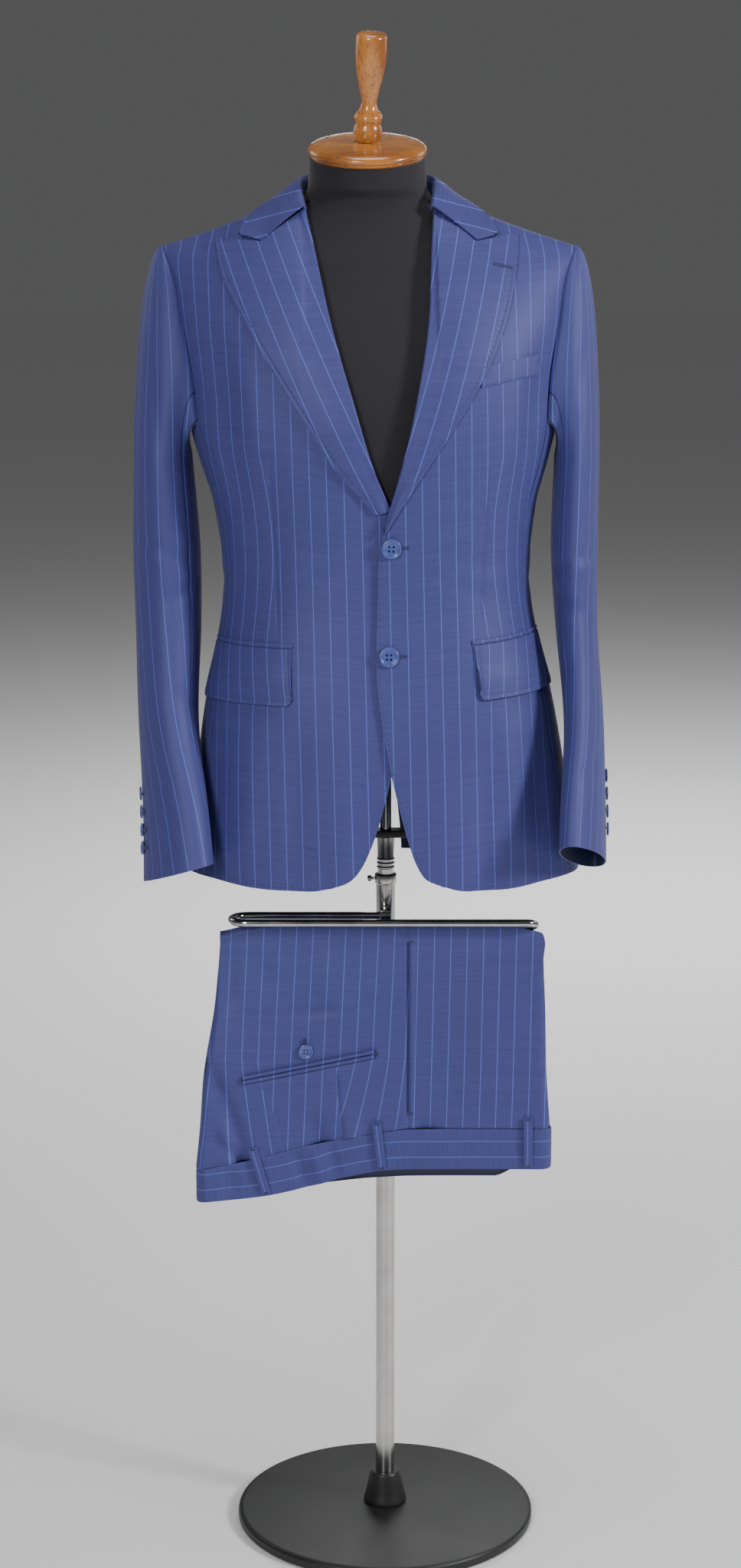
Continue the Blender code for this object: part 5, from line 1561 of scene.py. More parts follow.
# Folds: distance round the sleeve from its outer middle (positive in front) and height, width, depth
SLEEVE_FOLDS = {
    1: (
        (0.030, 1.110, 0.120, 1.070, 0.0080, -0.0022),
        (0.020, 1.070, 0.110, 1.100, 0.0090, 0.0016),
        (0.045, 1.030, 0.125, 1.060, 0.0080, -0.0020),
        (0.060, 0.990, 0.110, 0.960, 0.0090, -0.0014),
        (0.000, 0.900, 0.080, 0.860, 0.0110, -0.0012),
        (0.060, 1.330, 0.085, 1.180, 0.0090, -0.0022),
        (-0.030, 1.340, -0.060, 1.200, 0.0110, -0.0016),
        (-0.100, 1.120, -0.040, 1.080, 0.0110, -0.0014),
        (0.015, 1.320, 0.020, 1.000, 0.0180, 0.0012),
    ),
    -1: (
        (0.030, 1.120, 0.120, 1.080, 0.0080, -0.0020),
        (0.020, 1.085, 0.110, 1.110, 0.0090, 0.0014),
        (0.050, 1.040, 0.125, 1.070, 0.0080, -0.0018),
        (0.050, 0.960, 0.115, 0.930, 0.0100, -0.0014),
        (0.000, 0.880, 0.090, 0.850, 0.0120, -0.0010),
        (0.055, 1.330, 0.080, 1.170, 0.0100, -0.0022),
        (-0.030, 1.330, -0.060, 1.190, 0.0110, -0.0016),
        (-0.100, 1.120, -0.040, 1.080, 0.0110, -0.0014),
        (0.020, 1.300, 0.030, 0.900, 0.0160, 0.0014),
    ),
}


def oval_lengths(thin, deep, steps=240):
    """Lengths round an oval from its outer middle, at even turns."""
    turns = np.linspace(0, 2 * np.pi, steps + 1)
    pace = np.hypot(thin * np.sin(turns), deep * np.cos(turns)) * 2 * np.pi / steps
    return np.concatenate([[0.0], np.cumsum((pace[1:] + pace[:-1]) / 2)])


def sleeve_grain(side, turns, rows, points):
    """Distance round the sleeve from its outer middle; over the cap, of the place straight below."""
    sizes = SLEEVES[side]
    top, x, y, thin, deep, tilt = sizes[-1][:6]
    table = oval_lengths(thin, deep)
    whole = np.linspace(0, 1, len(table))
    tilt = math.radians(tilt)
    across = np.empty(points.shape[:2])
    for j, v in enumerate(rows):
        here = turns.copy()
        scale = 1.0
        if v < CAP_SHARE:
            off_x, off_y = points[j, :, 0] - x, points[j, :, 1] - y
            forward = -side * math.sin(tilt) * off_x - math.cos(tilt) * off_y
            outward = side * math.cos(tilt) * off_x - math.sin(tilt) * off_y
            seen = np.arctan2(forward / deep, outward / thin) / (2 * np.pi)
            here = seen + np.round(turns - seen)
        else:
            z = mix(top, sizes[0][0], (v - CAP_SHARE) / (1 - CAP_SHARE))
            scale = (read(sizes, z, 3) + read(sizes, z, 4)) / (thin + deep)
        turn = np.floor(here + 0.5)
        part = here - turn
        length = np.sign(part) * np.interp(np.abs(part), whole, table) + turn * table[-1]
        across[j] = length * scale
    return across, running_lengths(points)[1]


def sew_sleeves(cloth):
    gap = SLEEVE_SEAM_TURN
    rows = np.concatenate([spread(0, CAP_SHARE, 60, 0.5), spread(CAP_SHARE, 1, 110, 0.4)[1:]])
    spans = (
        ("top", SLEEVE_BACK_SEAM + gap, SLEEVE_FRONT_SEAM - gap, 54),
        ("under", SLEEVE_FRONT_SEAM + gap, 1 + SLEEVE_BACK_SEAM - gap, 40),
    )
    for side, name in SIDES:

        def relief(points, across, along):
            flat = np.stack([across, points[..., 2]], axis=-1)
            pressed = folds(flat, SLEEVE_FOLDS[side], axes=(0, 1))
            edge = running_lengths(points)[0]
            off_seam = np.minimum(edge, edge[:, -1:] - edge)
            off_top = np.linalg.norm(points - points[:1], axis=2)
            return pressed + dip(off_seam, 0.0018, -0.0007) + dip(off_top, 0.0028, -0.0013)

        for part, start, end, count in spans:
            turns = start + (end - start) * spread(0, 1, count, 0.6)
            cloth.sew(f"sleeve_{part}_{name}", partial(sleeve_surface, side), turns, rows, SLEEVE_WALL,
                      f"sleeve_{name}_{part}", "hung", f"front_{name}", side,
                      grain=partial(sleeve_grain, side, turns, rows), relief=relief)


# Trousers

# Back darts: top x and height, lower x and height
BACK_DARTS = ((-0.1308, 0.5221, -0.1104, 0.4547), (-0.0530, 0.5371, -0.0472, 0.4703))
# Lean of the stripes below the pocket, in each stretch between the darts: x, lean
DART_LEANS = (
    ((-0.2000, 0.090), (-0.1500, -0.110), (-0.1200, -0.140)),
    ((-0.1300, 0.030), (-0.0500, 0.060)),
    ((-0.0500, 0.260), (0.0250, 0.100)),
)
TROUSER_FOLDS = (
    (-0.196, 0.560, -0.150, 0.430, 0.0100, -0.0070),
    (-0.180, 0.520, -0.165, 0.425, 0.0080, 0.0050),
    (-0.190, 0.470, -0.135, 0.420, 0.0070, -0.0050),
    (-0.150, 0.460, -0.120, 0.400, 0.0070, 0.0032),
    (-0.085, 0.500, -0.060, 0.430, 0.0100, -0.0043),
    (-0.035, 0.500, -0.045, 0.430, 0.0090, 0.0038),
    (-0.120, 0.600, 0.010, 0.615, 0.0060, -0.0022),
    (-0.150, 0.672, -0.110, 0.620, 0.0120, -0.0022),
    (-0.165, 0.670, -0.170, 0.600, 0.0100, -0.0026),
    (-0.060, 0.690, -0.050, 0.570, 0.0180, 0.0038),
    (0.030, 0.500, 0.060, 0.440, 0.0120, -0.0032),
    (0.100, 0.690, 0.110, 0.480, 0.0220, 0.0038),
    (0.150, 0.470, 0.128, 0.436, 0.0060, -0.0038),
    (0.150, 0.670, 0.160, 0.560, 0.0120, -0.0022),
)
WAIST_FOLDS = (
    (-0.100, 0.455, -0.085, 0.405, 0.0070, -0.0034),
    (-0.080, 0.460, -0.068, 0.410, 0.0060, 0.0030),
    (-0.062, 0.462, -0.050, 0.415, 0.0060, -0.0027),
    (-0.175, 0.440, -0.165, 0.395, 0.0090, -0.0023),
    (0.060, 0.480, 0.062, 0.430, 0.0180, 0.0015),
)
POCKET_LINE_Z = 0.5550
SIDE_POCKET = (0.6800, 0.4945)
SIDE_POCKET_STITCH = 0.0068
BACK_EDGE_X = SIDE_SEAM_X - SEAM_GAP / 2
# Where the back darts lie in the columns of the back's cloth
DART_COLUMNS = (0.30, 0.64)


def dart_x(dart, z):
    top_x, top_z, low_x, low_z = dart
    return low_x + (top_x - low_x) * (z - low_z) / (top_z - low_z)


def dart_shares(v):
    """Where the back darts cross a row of the back's cloth, as shares of its width."""
    steps = np.linspace(0, 1, 9)
    row = [trouser_surface(0, -1.0, BACK_EDGE_X, float(u), v) for u in steps]
    z = row[4].z
    lines = [dart_x(dart, min(max(z, dart[3] - 0.02), dart[1])) for dart in BACK_DARTS]
    return np.interp(lines, [point.x for point in row], steps)


def trouser_across(points):
    """Where each point lies across the stripes of the trousers, which lean between the back darts."""
    x, z = points[..., 0], points[..., 2]
    front = x + 0.022 * (BAR_Z - z)
    across = x + 0.050 * (BAR_Z - np.maximum(z, POCKET_LINE_Z))
    below = np.maximum(POCKET_LINE_Z - z, 0.0)
    bounds = [dart_x(dart, z) for dart in BACK_DARTS]
    zones = (x < bounds[0], (x >= bounds[0]) & (x < bounds[1]), x >= bounds[1])
    for zone, leans in zip(zones, DART_LEANS):
        lean = np.interp(x, [row[0] for row in leans], [row[1] for row in leans])
        across = across + np.where(zone, lean * below, 0.0)
    return np.where(x > SIDE_SEAM_X, front, across + 0.007)


def trouser_grain(points):
    return trouser_across(points), running_lengths(points)[1]


def pocket_grooves(points):
    """The cloth sinks in round the back pocket's lips."""
    x0, z0, x1, z1 = BACK_POCKET
    way = np.array([x1 - x0, z1 - z0]) / math.dist((x0, z0), (x1, z1))
    flat = points[..., [0, 2]] - np.array([x0, z0])
    on, off = flat @ way, flat @ np.array([-way[1], way[0]])
    outside = np.maximum(np.maximum(-on, on - math.dist((x0, z0), (x1, z1))), np.abs(off) - 0.0050)
    return dip(np.maximum(outside, 0), 0.0014, -0.0011)


def trouser_relief(points, across, along):
    pressed = folds(points, TROUSER_FOLDS)
    for dart in BACK_DARTS:
        top, low = np.array(dart[:2]), np.array(dart[2:])
        low = low + (low - top) * 0.5
        pressed = pressed + fold(points, top - (low - top), low, 0.0011, -0.0013) * (points[..., 2] < dart[1])
    off_foot = np.linalg.norm(points - points[:1], axis=2)
    return pressed + dip(off_foot, 0.0020, -0.0008)


def sew_trousers(cloth):
    panels = (
        ("back_left", 0, -1.0, BACK_EDGE_X, 84),
        ("front_left", 0, SIDE_SEAM_X + SEAM_GAP / 2, 1.0, 64),
        ("back_right", 1, -1.0, BACK_EDGE_X, 40),
        ("front_right", 1, SIDE_SEAM_X + SEAM_GAP / 2, 1.0, 30),
    )
    whole = HANGING_ROWS + CORNER_ROWS + FOLD_ROWS
    turn = (HANGING_ROWS + CORNER_ROWS) / whole
    rows = np.concatenate([spread(0, turn, 100, 0.4), np.linspace(turn, 1, 22)[1:]])
    shares = {v: dart_shares(v) for v in rows}
    doubled = [column + step for column in DART_COLUMNS for step in (-0.0006, 0.0006)]
    for name, layer, start, end, count in panels:

        def relief(points, across, along):
            if layer:
                return np.zeros(across.shape)
            pressed = trouser_relief(points, across, along)
            z = points[..., 2]
            in_pocket = (z < SIDE_POCKET[0]) & (z > SIDE_POCKET[1])
            off_seam = np.abs(points[..., 0] - SIDE_SEAM_X)
            if name == "front_left":
                pressed = pressed + np.where(in_pocket, dip(off_seam - 0.003, 0.0030, 0.0015), 0)
                pressed = pressed + dip(off_seam - SIDE_POCKET_STITCH, 0.0013, -0.0007) * in_pocket
            if name == "back_left":
                pressed = pressed + pocket_grooves(points)
                pressed = pressed + dip(off_seam, 0.0040, -0.0012) * in_pocket
            return pressed + dip(off_seam, 0.0016, -0.0010)

        def surface(u, v):
            if name == "back_left":
                u = float(np.interp(u, (0, *DART_COLUMNS, 1), (0, *shares[v], 1)))
            return trouser_surface(layer, start, end, u, v)

        columns = spread(0, 1, count, 0.6)
        if name == "back_left":
            columns = [u for u in columns if min(abs(u - column) for column in DART_COLUMNS) > 0.003]
            columns = sorted([*columns, *doubled])
        cloth.sew(f"trousers_{name}", surface, columns, rows, TROUSER_WALL, f"trouser_{name}", "folded",
                  "trouser_bar", 1 if layer == 0 else -1, grain=trouser_grain, relief=relief)


def waist_grain(points):
    """The stripes run round the waistband."""
    length, height = running_lengths(points)
    return height - points[:1, :, 2], length


def waist_relief(points, across, along):
    in_front = points[..., 1] <= (WAISTBAND_FRONT_Y + WAISTBAND_BACK_Y) / 2
    return folds(points, WAIST_FOLDS) * in_front - 0.0007 * (2 * row_share(points) - 1) ** 8


def loop_relief(points, across, along):
    share = np.linspace(0, 1, points.shape[1])[None, :]
    return 0.0006 * (1 - (2 * share - 1) ** 4) * np.ones(across.shape) - 0.0002


def sew_waistband(cloth):
    cloth.sew("waistband_cloth", waistband_surface, np.linspace(0, 1, 281), spread(0, 1, 20, 0.5),
              WAISTBAND_WALL, "waistband", "folded", "trousers_back_left", 1, closed=True, grain=waist_grain,
              relief=waist_relief, phase=WAIST_PHASE)
    for number, (top_x, low_x) in enumerate(BELT_LOOPS, 1):
        cloth.sew(f"waist_loop_{number}", partial(belt_loop_surface, top_x, low_x), spread(0, 1, 14, 0.5),
                  spread(0, 1, 40, 0.6), LOOP_WALL, f"belt_loop_{number}", "folded", "waistband_cloth", 1,
                  grain=partial(running_lengths, first_across=-LOOP_HALF_WIDTH), relief=loop_relief,
                  phase=LOOP_PHASE)


def lip_relief(points, across, along):
    return (0.0014 * np.sin(np.pi * row_share(points)) ** 0.7 - 0.0003) * np.ones(across.shape)


def sew_back_pocket(cloth):
    for name, offset in (("lower", -0.0046), ("upper", 0.0004)):
        cloth.sew(f"pocket_lip_{name}", partial(pocket_jet_surface, offset), spread(0, 1, 70, 0.5),
                  spread(0, 1, 8, 0.2), LIP_WALL, f"back_pocket_jet_{name}", "folded", "trousers_back_left",
                  relief=lip_relief, grain=trouser_grain)


LEG_LAYERS = 4


def leg_outline(left, right, half):
    """The folded legs' outline across the fold: flat faces, and side edges where four layers show."""
    face = [(x, 1.0) for x in np.linspace(left + 0.003, right - 0.003, 30)]
    edge = []
    for n in range(1, 25):
        share = 1 - 2 * n / 25
        in_layer = 2 * (LEG_LAYERS * n / 25 % 1.0) - 1
        round_in = 0.0022 * (1 - math.sqrt(1 - share**6)) + 0.0014 * (1 - math.sqrt(1 - in_layer**2))
        edge.append((right - round_in, share))
    other = [(right + left - x, -share) for x, share in face + edge]
    loop = face + edge + other
    return [(x, share * half) for x, share in loop + loop[:1]]


def lay_legs(cloth):
    steps = [math.dist(a[2:4], b[2:4]) for a, b in zip(LEG_FOLDS, LEG_FOLDS[1:])]
    places = np.concatenate([[0.0], np.cumsum(steps)])
    table = [(place, *row) for place, row in zip(places, LEG_FOLDS)]
    rings = []
    stretches = [np.linspace(a, b, 10)[:-1] for a, b in zip(places, places[1:])]
    for place in np.concatenate([*stretches, places[-1:]]):
        left, right, y, z, thick = (read(table, place, n) for n in range(1, 6))
        before, after = max(place - 0.0006, 0.0), min(place + 0.0006, places[-1])
        way = Vector((0, *(read(table, after, n) - read(table, before, n) for n in (3, 4)))).normalized()
        across = Vector((0, -way.z, way.y))
        outline = leg_outline(left, right, thick / 2)
        rings.append([Vector((x, y, z)) + across * off for x, off in outline])
    points = np.array(rings, float)
    across, along = trouser_across(points), running_lengths(points)[1]
    across = across + 0.018 * np.sin(points[..., 2] * 3.0)
    piece = grid_piece(points, across, along, 1, closed=True)
    close_ends(piece)
    settle(piece, "legs_folded", "suit_cloth", "trouser_legs_folded", cloth.outer)
    smooth(piece)
    as_sheet(piece)


# Sewing thread

# Length and width of a pick stitch, a close stitch and a bar of thread
PICK_STITCH, CLOSE_STITCH, BAR_STITCH = (0.0029, 0.00078), (0.0021, 0.0006), (0.0048, 0.0009)
# How far apart the stitches are along each edge
LAPEL_PITCH, FRONT_PITCH, FLAP_PITCH, SIDE_POCKET_PITCH = 0.0058, 0.0062, 0.0056, 0.0034
# How far in from the front's edge its stitches lie, and how far up each front they go
FRONT_INSET, FRONT_STITCH_TOP = 0.0034, {1: 0.485, -1: 0.20}
EDGE_THREAD, BUTTON_THREAD = (0.016, 0.022, 0.085), (0.020, 0.028, 0.085)

def joined_copies(name, pattern, places, material):
    """One mesh holding a copy of a small modelled pattern at each place."""
    points = np.array([v.co for v in pattern.data.vertices])
    faces = [tuple(face.vertices) for face in pattern.data.polygons]
    count = len(points)
    all_points, all_faces = [], []
    for n, place in enumerate(places):
        turned = points @ np.array(place.to_3x3()).T + np.array(place.translation)
        all_points.extend(map(tuple, turned))
        all_faces.extend(tuple(i + n * count for i in face) for face in faces)
    mesh = bpy.data.meshes.new(name)
    mesh.from_pydata(all_points, [], all_faces)
    mesh.shade_smooth()
    piece = bpy.data.objects.new(name, mesh)
    bpy.context.scene.collection.objects.link(piece)
    settle(piece, name, "suit_cloth", None, material)


def stitch_pattern(length, width):
    nothing_selected()
    bpy.ops.mesh.primitive_ico_sphere_add(subdivisions=1, radius=1)
    pattern = bpy.context.object
    bpy.ops.transform.resize(value=(length / 2, width / 2, width / 2))
    bpy.ops.object.transform_apply(location=False, rotation=False, scale=True)
    return pattern


def along_path(points, normals, pitch):
    """Frames at even steps along a path: x along it, z out of the cloth."""
    lengths = np.concatenate([[0.0], np.cumsum([(b - a).length for a, b in zip(points, points[1:])])])
    places = []
    for travel in np.arange(pitch / 2, lengths[-1], pitch):
        after = min(max(int(np.searchsorted(lengths, travel)), 1), len(points) - 1)
        share = (travel - lengths[after - 1]) / max(lengths[after] - lengths[after - 1], 1e-9)
        point = points[after - 1].lerp(points[after], share)
        out = normals[after - 1].lerp(normals[after], share).normalized()
        way = (points[after] - points[after - 1]).normalized()
        side = out.cross(way).normalized()
        frame = Matrix((way, side, way.cross(side))).transposed().to_4x4()
        frame.translation = point
        places.append(frame)
    return places


def surface_path(surface, uvs, facing=1):
    """Points and outward normals along a line drawn on a surface by its u and v."""
    points, normals = [], []
    for u, v in uvs:
        step = 0.002
        across = surface(min(u + step, 1.0), v) - surface(max(u - step, 0.0), v)
        along = surface(u, min(v + step, 1.0)) - surface(u, max(v - step, 0.0))
        points.append(surface(u, v))
        normals.append(across.cross(along).normalized() * facing)
    return points, normals


def rest_on(name, places, sink=0.0001):
    """Moves stitches to the outer face of a finished cloth piece, folds and all."""
    piece = bpy.data.objects[name]
    for frame in places:
        out = frame.col[2].xyz
        found, spot, _, _ = piece.closest_point_on_mesh(frame.translation + out * 0.004)
        if found:
            frame.translation = spot - out * sink
    return places


def stitch(name, on, path, pitch, pattern, thread):
    """A row of stitches along a path, on a finished cloth piece."""
    joined_copies(name, pattern, rest_on(on, along_path(*path, pitch)), thread)


def inset_share(surface, v, inset, from_far_edge):
    """The u that lies inset metres from a surface's side edge."""
    width = sum((surface((n + 1) / 12, v) - surface(n / 12, v)).length for n in range(12))
    share = min(inset / max(width, 1e-6), 0.5)
    return 1 - share if from_far_edge else share


def sew_edges():
    """Pick stitches along the lapels, collar, fronts, flaps and the trousers' side pocket."""
    thread = sewing_thread("edge_thread", EDGE_THREAD)
    pick, close = stitch_pattern(*PICK_STITCH), stitch_pattern(*CLOSE_STITCH)
    for side, name in SIDES:
        lapel = partial(lapel_surface, side)
        uvs = [(inset_share(lapel, v, STITCH_INSET, True), v) for v in np.linspace(0.03, 0.985, 60)]
        uvs += [(u, 0.985) for u in np.linspace(0.94, 0.56, 14)]
        path = surface_path(lapel, uvs, side)
        stitch(f"lapel_stitches_{name}", f"lapel_face_{name}", path, LAPEL_PITCH, pick, thread)
        front = partial(front_surface, side)
        uvs = [(0.86 * (1 - n / 40), 0.0048) for n in range(40)]
        rise = np.linspace(0.010, FRONT_STITCH_TOP[side], 70)
        uvs += [(inset_share(front, v, FRONT_INSET, False), v) for v in rise]
        path = surface_path(front, uvs, side)
        stitch(f"front_stitches_{name}", f"front_{name}", path, FRONT_PITCH, pick, thread)
        uvs = [(0.10, v) for v in np.linspace(0.92, 0.12, 14)]
        uvs += [(u, 0.085) for u in np.linspace(0.12, 0.93, 60)]
        path = surface_path(partial(flap_surface, side, FLAPS[side]), uvs, side)
        stitch(f"flap_stitches_{name}", f"flap_{name}", path, FLAP_PITCH, pick, thread)
    path = surface_path(collar_cloth, [(0.94, v) for v in np.linspace(0.02, 0.98, 150)], -1)
    stitch("collar_stitches", "collar_leaf", path, LAPEL_PITCH, pick, thread)
    x = SIDE_SEAM_X + SIDE_POCKET_STITCH
    points = [Vector((x, trouser_front_y(z), z)) for z in np.linspace(*SIDE_POCKET, 40)]
    path = points, [Vector((0, -1, 0))] * len(points)
    stitch("side_pocket_stitches", "trousers_front_left", path, SIDE_POCKET_PITCH, close, thread)
    for pattern in (pick, close):
        bpy.data.objects.remove(pattern)
    return thread


def bar_tacks(thread):
    """Dense little bars of thread across the ends of pockets and belt loops."""
    bar = stitch_pattern(*BAR_STITCH)
    places = []

    def add(x, y, z, turn, count=4, gap=0.0006):
        frame = Matrix.Rotation(turn, 4, "Y")
        for n in range(count):
            off = frame @ Vector((0, 0, (n - (count - 1) / 2) * gap))
            places.append(Matrix.Translation(Vector((x, y, z)) + off) @ frame)

    for z in SIDE_POCKET:
        add(SIDE_SEAM_X + 0.003, trouser_front_y(z) - 0.0006, z, 0.0)
    x0, z0, x1, z1 = BACK_POCKET
    slope = -math.atan2(z1 - z0, x1 - x0)
    for x, z in ((x0 - 0.0012, z0), (x1 + 0.0012, z1)):
        add(x, trouser_front_y(z) - 0.0022, z + 0.0002, slope + math.pi / 2, count=5)
    for top_x, low_x in BELT_LOOPS:
        for v in (0.97, 0.04):
            point = belt_loop_surface(top_x, low_x, 0.5, v)
            add(point.x, point.y - 0.0007, point.z, 0.0, count=3)
    joined_copies("bar_tacks", bar, places, thread)
    bpy.data.objects.remove(bar)


def buttonhole(name, centre, normal, along, length, thread, width=0.0026):
    """A keyhole buttonhole: a bead of close stitches round a slit."""
    nothing_selected()
    bpy.ops.mesh.primitive_torus_add(major_segments=48, minor_segments=8, major_radius=width / 2 - 0.0003,
                                     minor_radius=0.00048)
    ring = bpy.context.object
    reach = length - width
    for vertex in ring.data.vertices:
        if vertex.co.x > 0:
            vertex.co.x += reach
        elif vertex.co.x < 0:
            vertex.co.x *= 1.25
            vertex.co.y *= 1.25
    side = normal.cross(along).normalized()
    frame = Matrix((along.normalized(), side, normal)).transposed().to_4x4()
    frame.translation = centre
    ring.data.transform(frame)
    settle(ring, name, "suit_cloth", None, thread)
    smooth(ring)


# Buttons


# A button's thickness, its holes' radius and how far they lie off its middle lines, by its radius
BUTTON_THICK, BUTTON_HOLE, BUTTON_HOLE_OFF = 0.30, 0.115, 0.205
# Its rim: share of the thickness, share of the radius
BUTTON_PROFILE = (
    (0.00, 0.80), (0.10, 0.90), (0.30, 0.985), (0.55, 1.00), (0.80, 0.975), (0.94, 0.92), (1.00, 0.86),
    (0.97, 0.79), (0.86, 0.73), (0.76, 0.69), (0.70, 0.62), (0.68, 0.50), (0.67, 0.30),
)


def model_button(radius):
    """A rimmed four-hole button, face up at the origin."""
    thick, off = radius * BUTTON_THICK, radius * BUTTON_HOLE_OFF
    button = extrude_rings(sized(BUTTON_PROFILE, thick, radius), 48)
    for x in (-off, off):
        for y in (-off, off):
            bpy.ops.mesh.primitive_cylinder_add(vertices=16, radius=radius * BUTTON_HOLE, depth=thick * 4,
                                                location=(x, y, 0))
            drill = bpy.context.object
            apply_modifier(button, "BOOLEAN", operation="DIFFERENCE", solver="EXACT", object=drill)
            bpy.data.objects.remove(drill)
    return button


def model_button_thread(radius):
    """Thread through the four holes: two worn bars, each of three strands."""
    nothing_selected()
    off, thick = radius * BUTTON_HOLE_OFF, radius * BUTTON_THICK
    parts = []
    for y in (-off, off):
        for lane in (-1, 0, 1):
            bpy.ops.mesh.primitive_cylinder_add(vertices=8, radius=radius * 0.030, depth=off * 2.3,
                                                rotation=(0, math.pi / 2, 0),
                                                location=(0, y + lane * radius * 0.045, thick * 0.74))
            strand = bpy.context.object
            bpy.ops.object.transform_apply(location=True, rotation=True, scale=True)
            for vertex in strand.data.vertices:
                if abs(vertex.co.x) > off:
                    vertex.co.z -= thick * 0.6
            parts.append(strand)
    nothing_selected()
    for part in parts:
        part.select_set(True)
    bpy.context.view_layer.objects.active = parts[0]
    bpy.ops.object.join()
    return bpy.context.object


def sew_button(name, node, centre, normal, radius, horn, thread):
    """A button and its thread, sewn on at centre and facing along normal."""
    turn = Vector((0, 0, 1)).rotation_difference(normal).to_matrix().to_4x4()
    frame = Matrix.Translation(centre) @ turn
    disc, strands = model_button(radius), model_button_thread(radius)
    for piece in (disc, strands):
        piece.data.transform(frame)
    smooth(settle(disc, name, "button", node, horn), 50)
    smooth(settle(strands, f"{name}_thread", "suit_cloth", None, thread), 50)


def sew_buttons():
    horn = button_horn()
    thread = sewing_thread("button_thread", BUTTON_THREAD)
    for number, (x, z) in enumerate(FRONT_BUTTONS, 1):
        normal = chest_normal(x, z)
        centre = chest_point(x, z) + normal * BUTTON_LIFT
        sew_button(f"button_front_{number}", f"front_button_{number}", centre, normal, FRONT_BUTTON_RADIUS,
                   horn, thread)
        beside = Vector((x + FRONT_BUTTON_RADIUS - 0.001, 0, z + 0.0006))
        start = chest_point(beside.x, beside.z) + normal * BUTTONHOLE_LIFT
        way = chest_point(beside.x + 0.010, beside.z) - chest_point(beside.x, beside.z)
        buttonhole(f"buttonhole_front_{number}", start, chest_normal(beside.x, beside.z), way, 0.0105, thread)
    for side, name in SIDES:
        rows = SLEEVES[side]
        for number in range(CUFF_BUTTONS):
            z = rows[0][0] + CUFF_BUTTON_RISE + number * CUFF_BUTTON_PITCH
            turn = SLEEVE_BACK_SEAM + CUFF_BUTTON_TURNS[side]
            here = sleeve_ring(rows, side, turn, z)
            across = sleeve_ring(rows, side, turn + 0.01, z) - here
            along = sleeve_ring(rows, side, turn, z + 0.01) - here
            normal = (along.cross(across) * side).normalized()
            sew_button(f"button_cuff_{name}_{number + 1}", f"cuff_button_{name}_{number + 1}",
                       here + normal * BUTTON_LIFT, normal, CUFF_BUTTON_RADIUS, horn, thread)
            start = here + across.normalized() * (CUFF_BUTTON_RADIUS + 0.0005) + normal * BUTTONHOLE_LIFT
            buttonhole(f"buttonhole_cuff_{name}_{number + 1}", start, normal, across, 0.012, thread, 0.0022)
    x, z = POCKET_BUTTON
    face = Vector((0, -1, 0))
    sew_button("button_pocket", "pocket_button", Vector((x, trouser_front_y(z) - 0.0010, z)), face,
               POCKET_BUTTON_RADIUS, horn, thread)
    start = Vector((x - 0.0006, trouser_front_y(z) - 0.0008, z + POCKET_BUTTON_RADIUS - 0.0010))
    buttonhole("buttonhole_pocket", start, face, Vector((-0.1, 0, 1)), 0.0085, thread)
    ends, normals = surface_path(partial(lapel_surface, 1), ((0.74, 0.90), (0.95, 0.885)))
    start, way = ends[0] + normals[0] * 0.0003, ends[1] - ends[0]
    buttonhole("buttonhole_lapel", start, normals[0], way, 0.021, thread)


# Dress form


def drape_form():
    """The form's torso and neck as one smooth body."""
    heights = np.concatenate([np.linspace(FORM_BOTTOM_Z, 1.385, 44), np.linspace(1.385, 1.4585, 26)[1:]])
    rings = [form_ring(float(z), 18) for z in heights]
    torso = rings[-1]
    for share in np.linspace(0, 1, 14)[1:]:
        z = mix(heights[-1], NECK_TOP_Z, share)
        neck = neck_ring(torso, z, NECK_TILT * share)
        turned = smooth_step(0.0, 0.38, share)
        rings.append([Vector((low.x, low.y, z)).lerp(high, turned) for low, high in zip(torso, neck)])
    points = np.array([ring + ring[:1] for ring in rings], float)
    across, along = running_lengths(points)
    piece = grid_piece(points, across, along, 1, closed=True)
    close_ends(piece)
    smooth(settle(piece, "form_body", "form_cover", "dress_form", form_jersey()), 60)


# Turned wood and metal


def turn_piece(name, node, profile, place, sides, slot, material, angle=35.0):
    """A turned piece in its place."""
    piece = extrude_rings(profile, sides)
    piece.data.transform(place)
    smooth(settle(piece, name, slot, node, material), angle)


def finer(profile, count):
    """More rows on the smooth curve through a profile."""
    heights = np.linspace(profile[0][0], profile[-1][0], count)
    return [(float(z), read(profile, float(z))) for z in heights]


# Neck cap: share of its thickness, share of its radius
CAP_PROFILE = (
    (0.00, 0.950), (0.06, 0.972), (0.14, 0.984), (0.20, 0.988), (0.24, 0.976), (0.28, 0.986), (0.38, 0.997),
    (0.48, 1.000), (0.58, 0.992), (0.68, 0.972), (0.77, 0.940), (0.85, 0.890), (0.91, 0.810), (0.96, 0.680),
    (0.985, 0.52), (1.00, 0.32), (1.02, 0.27), (1.03, 0.22),
)


def turn_wood():
    profile = sized(CAP_PROFILE, CAP_THICKNESS, CAP_RADIUS)
    turn_piece("cap_turned", "neck_cap", profile, cap_place(CAP_GAP), 96, "turned_wood",
               turned_wood("cap_wood", False))
    rows = finer(FINIAL, 70) + [(FINIAL[-1][0] + 0.0004, 0.0115), (FINIAL[-1][0] + 0.0006, 0.006)]
    place = cap_place(CAP_GAP + CAP_THICKNESS + FINIAL_GAP) @ Matrix.Rotation(FINIAL_LEAN, 4, "Y")
    turn_piece("finial_turned", "finial", rows, place, 64, "turned_wood",
               turned_wood("finial_wood", True), 60)


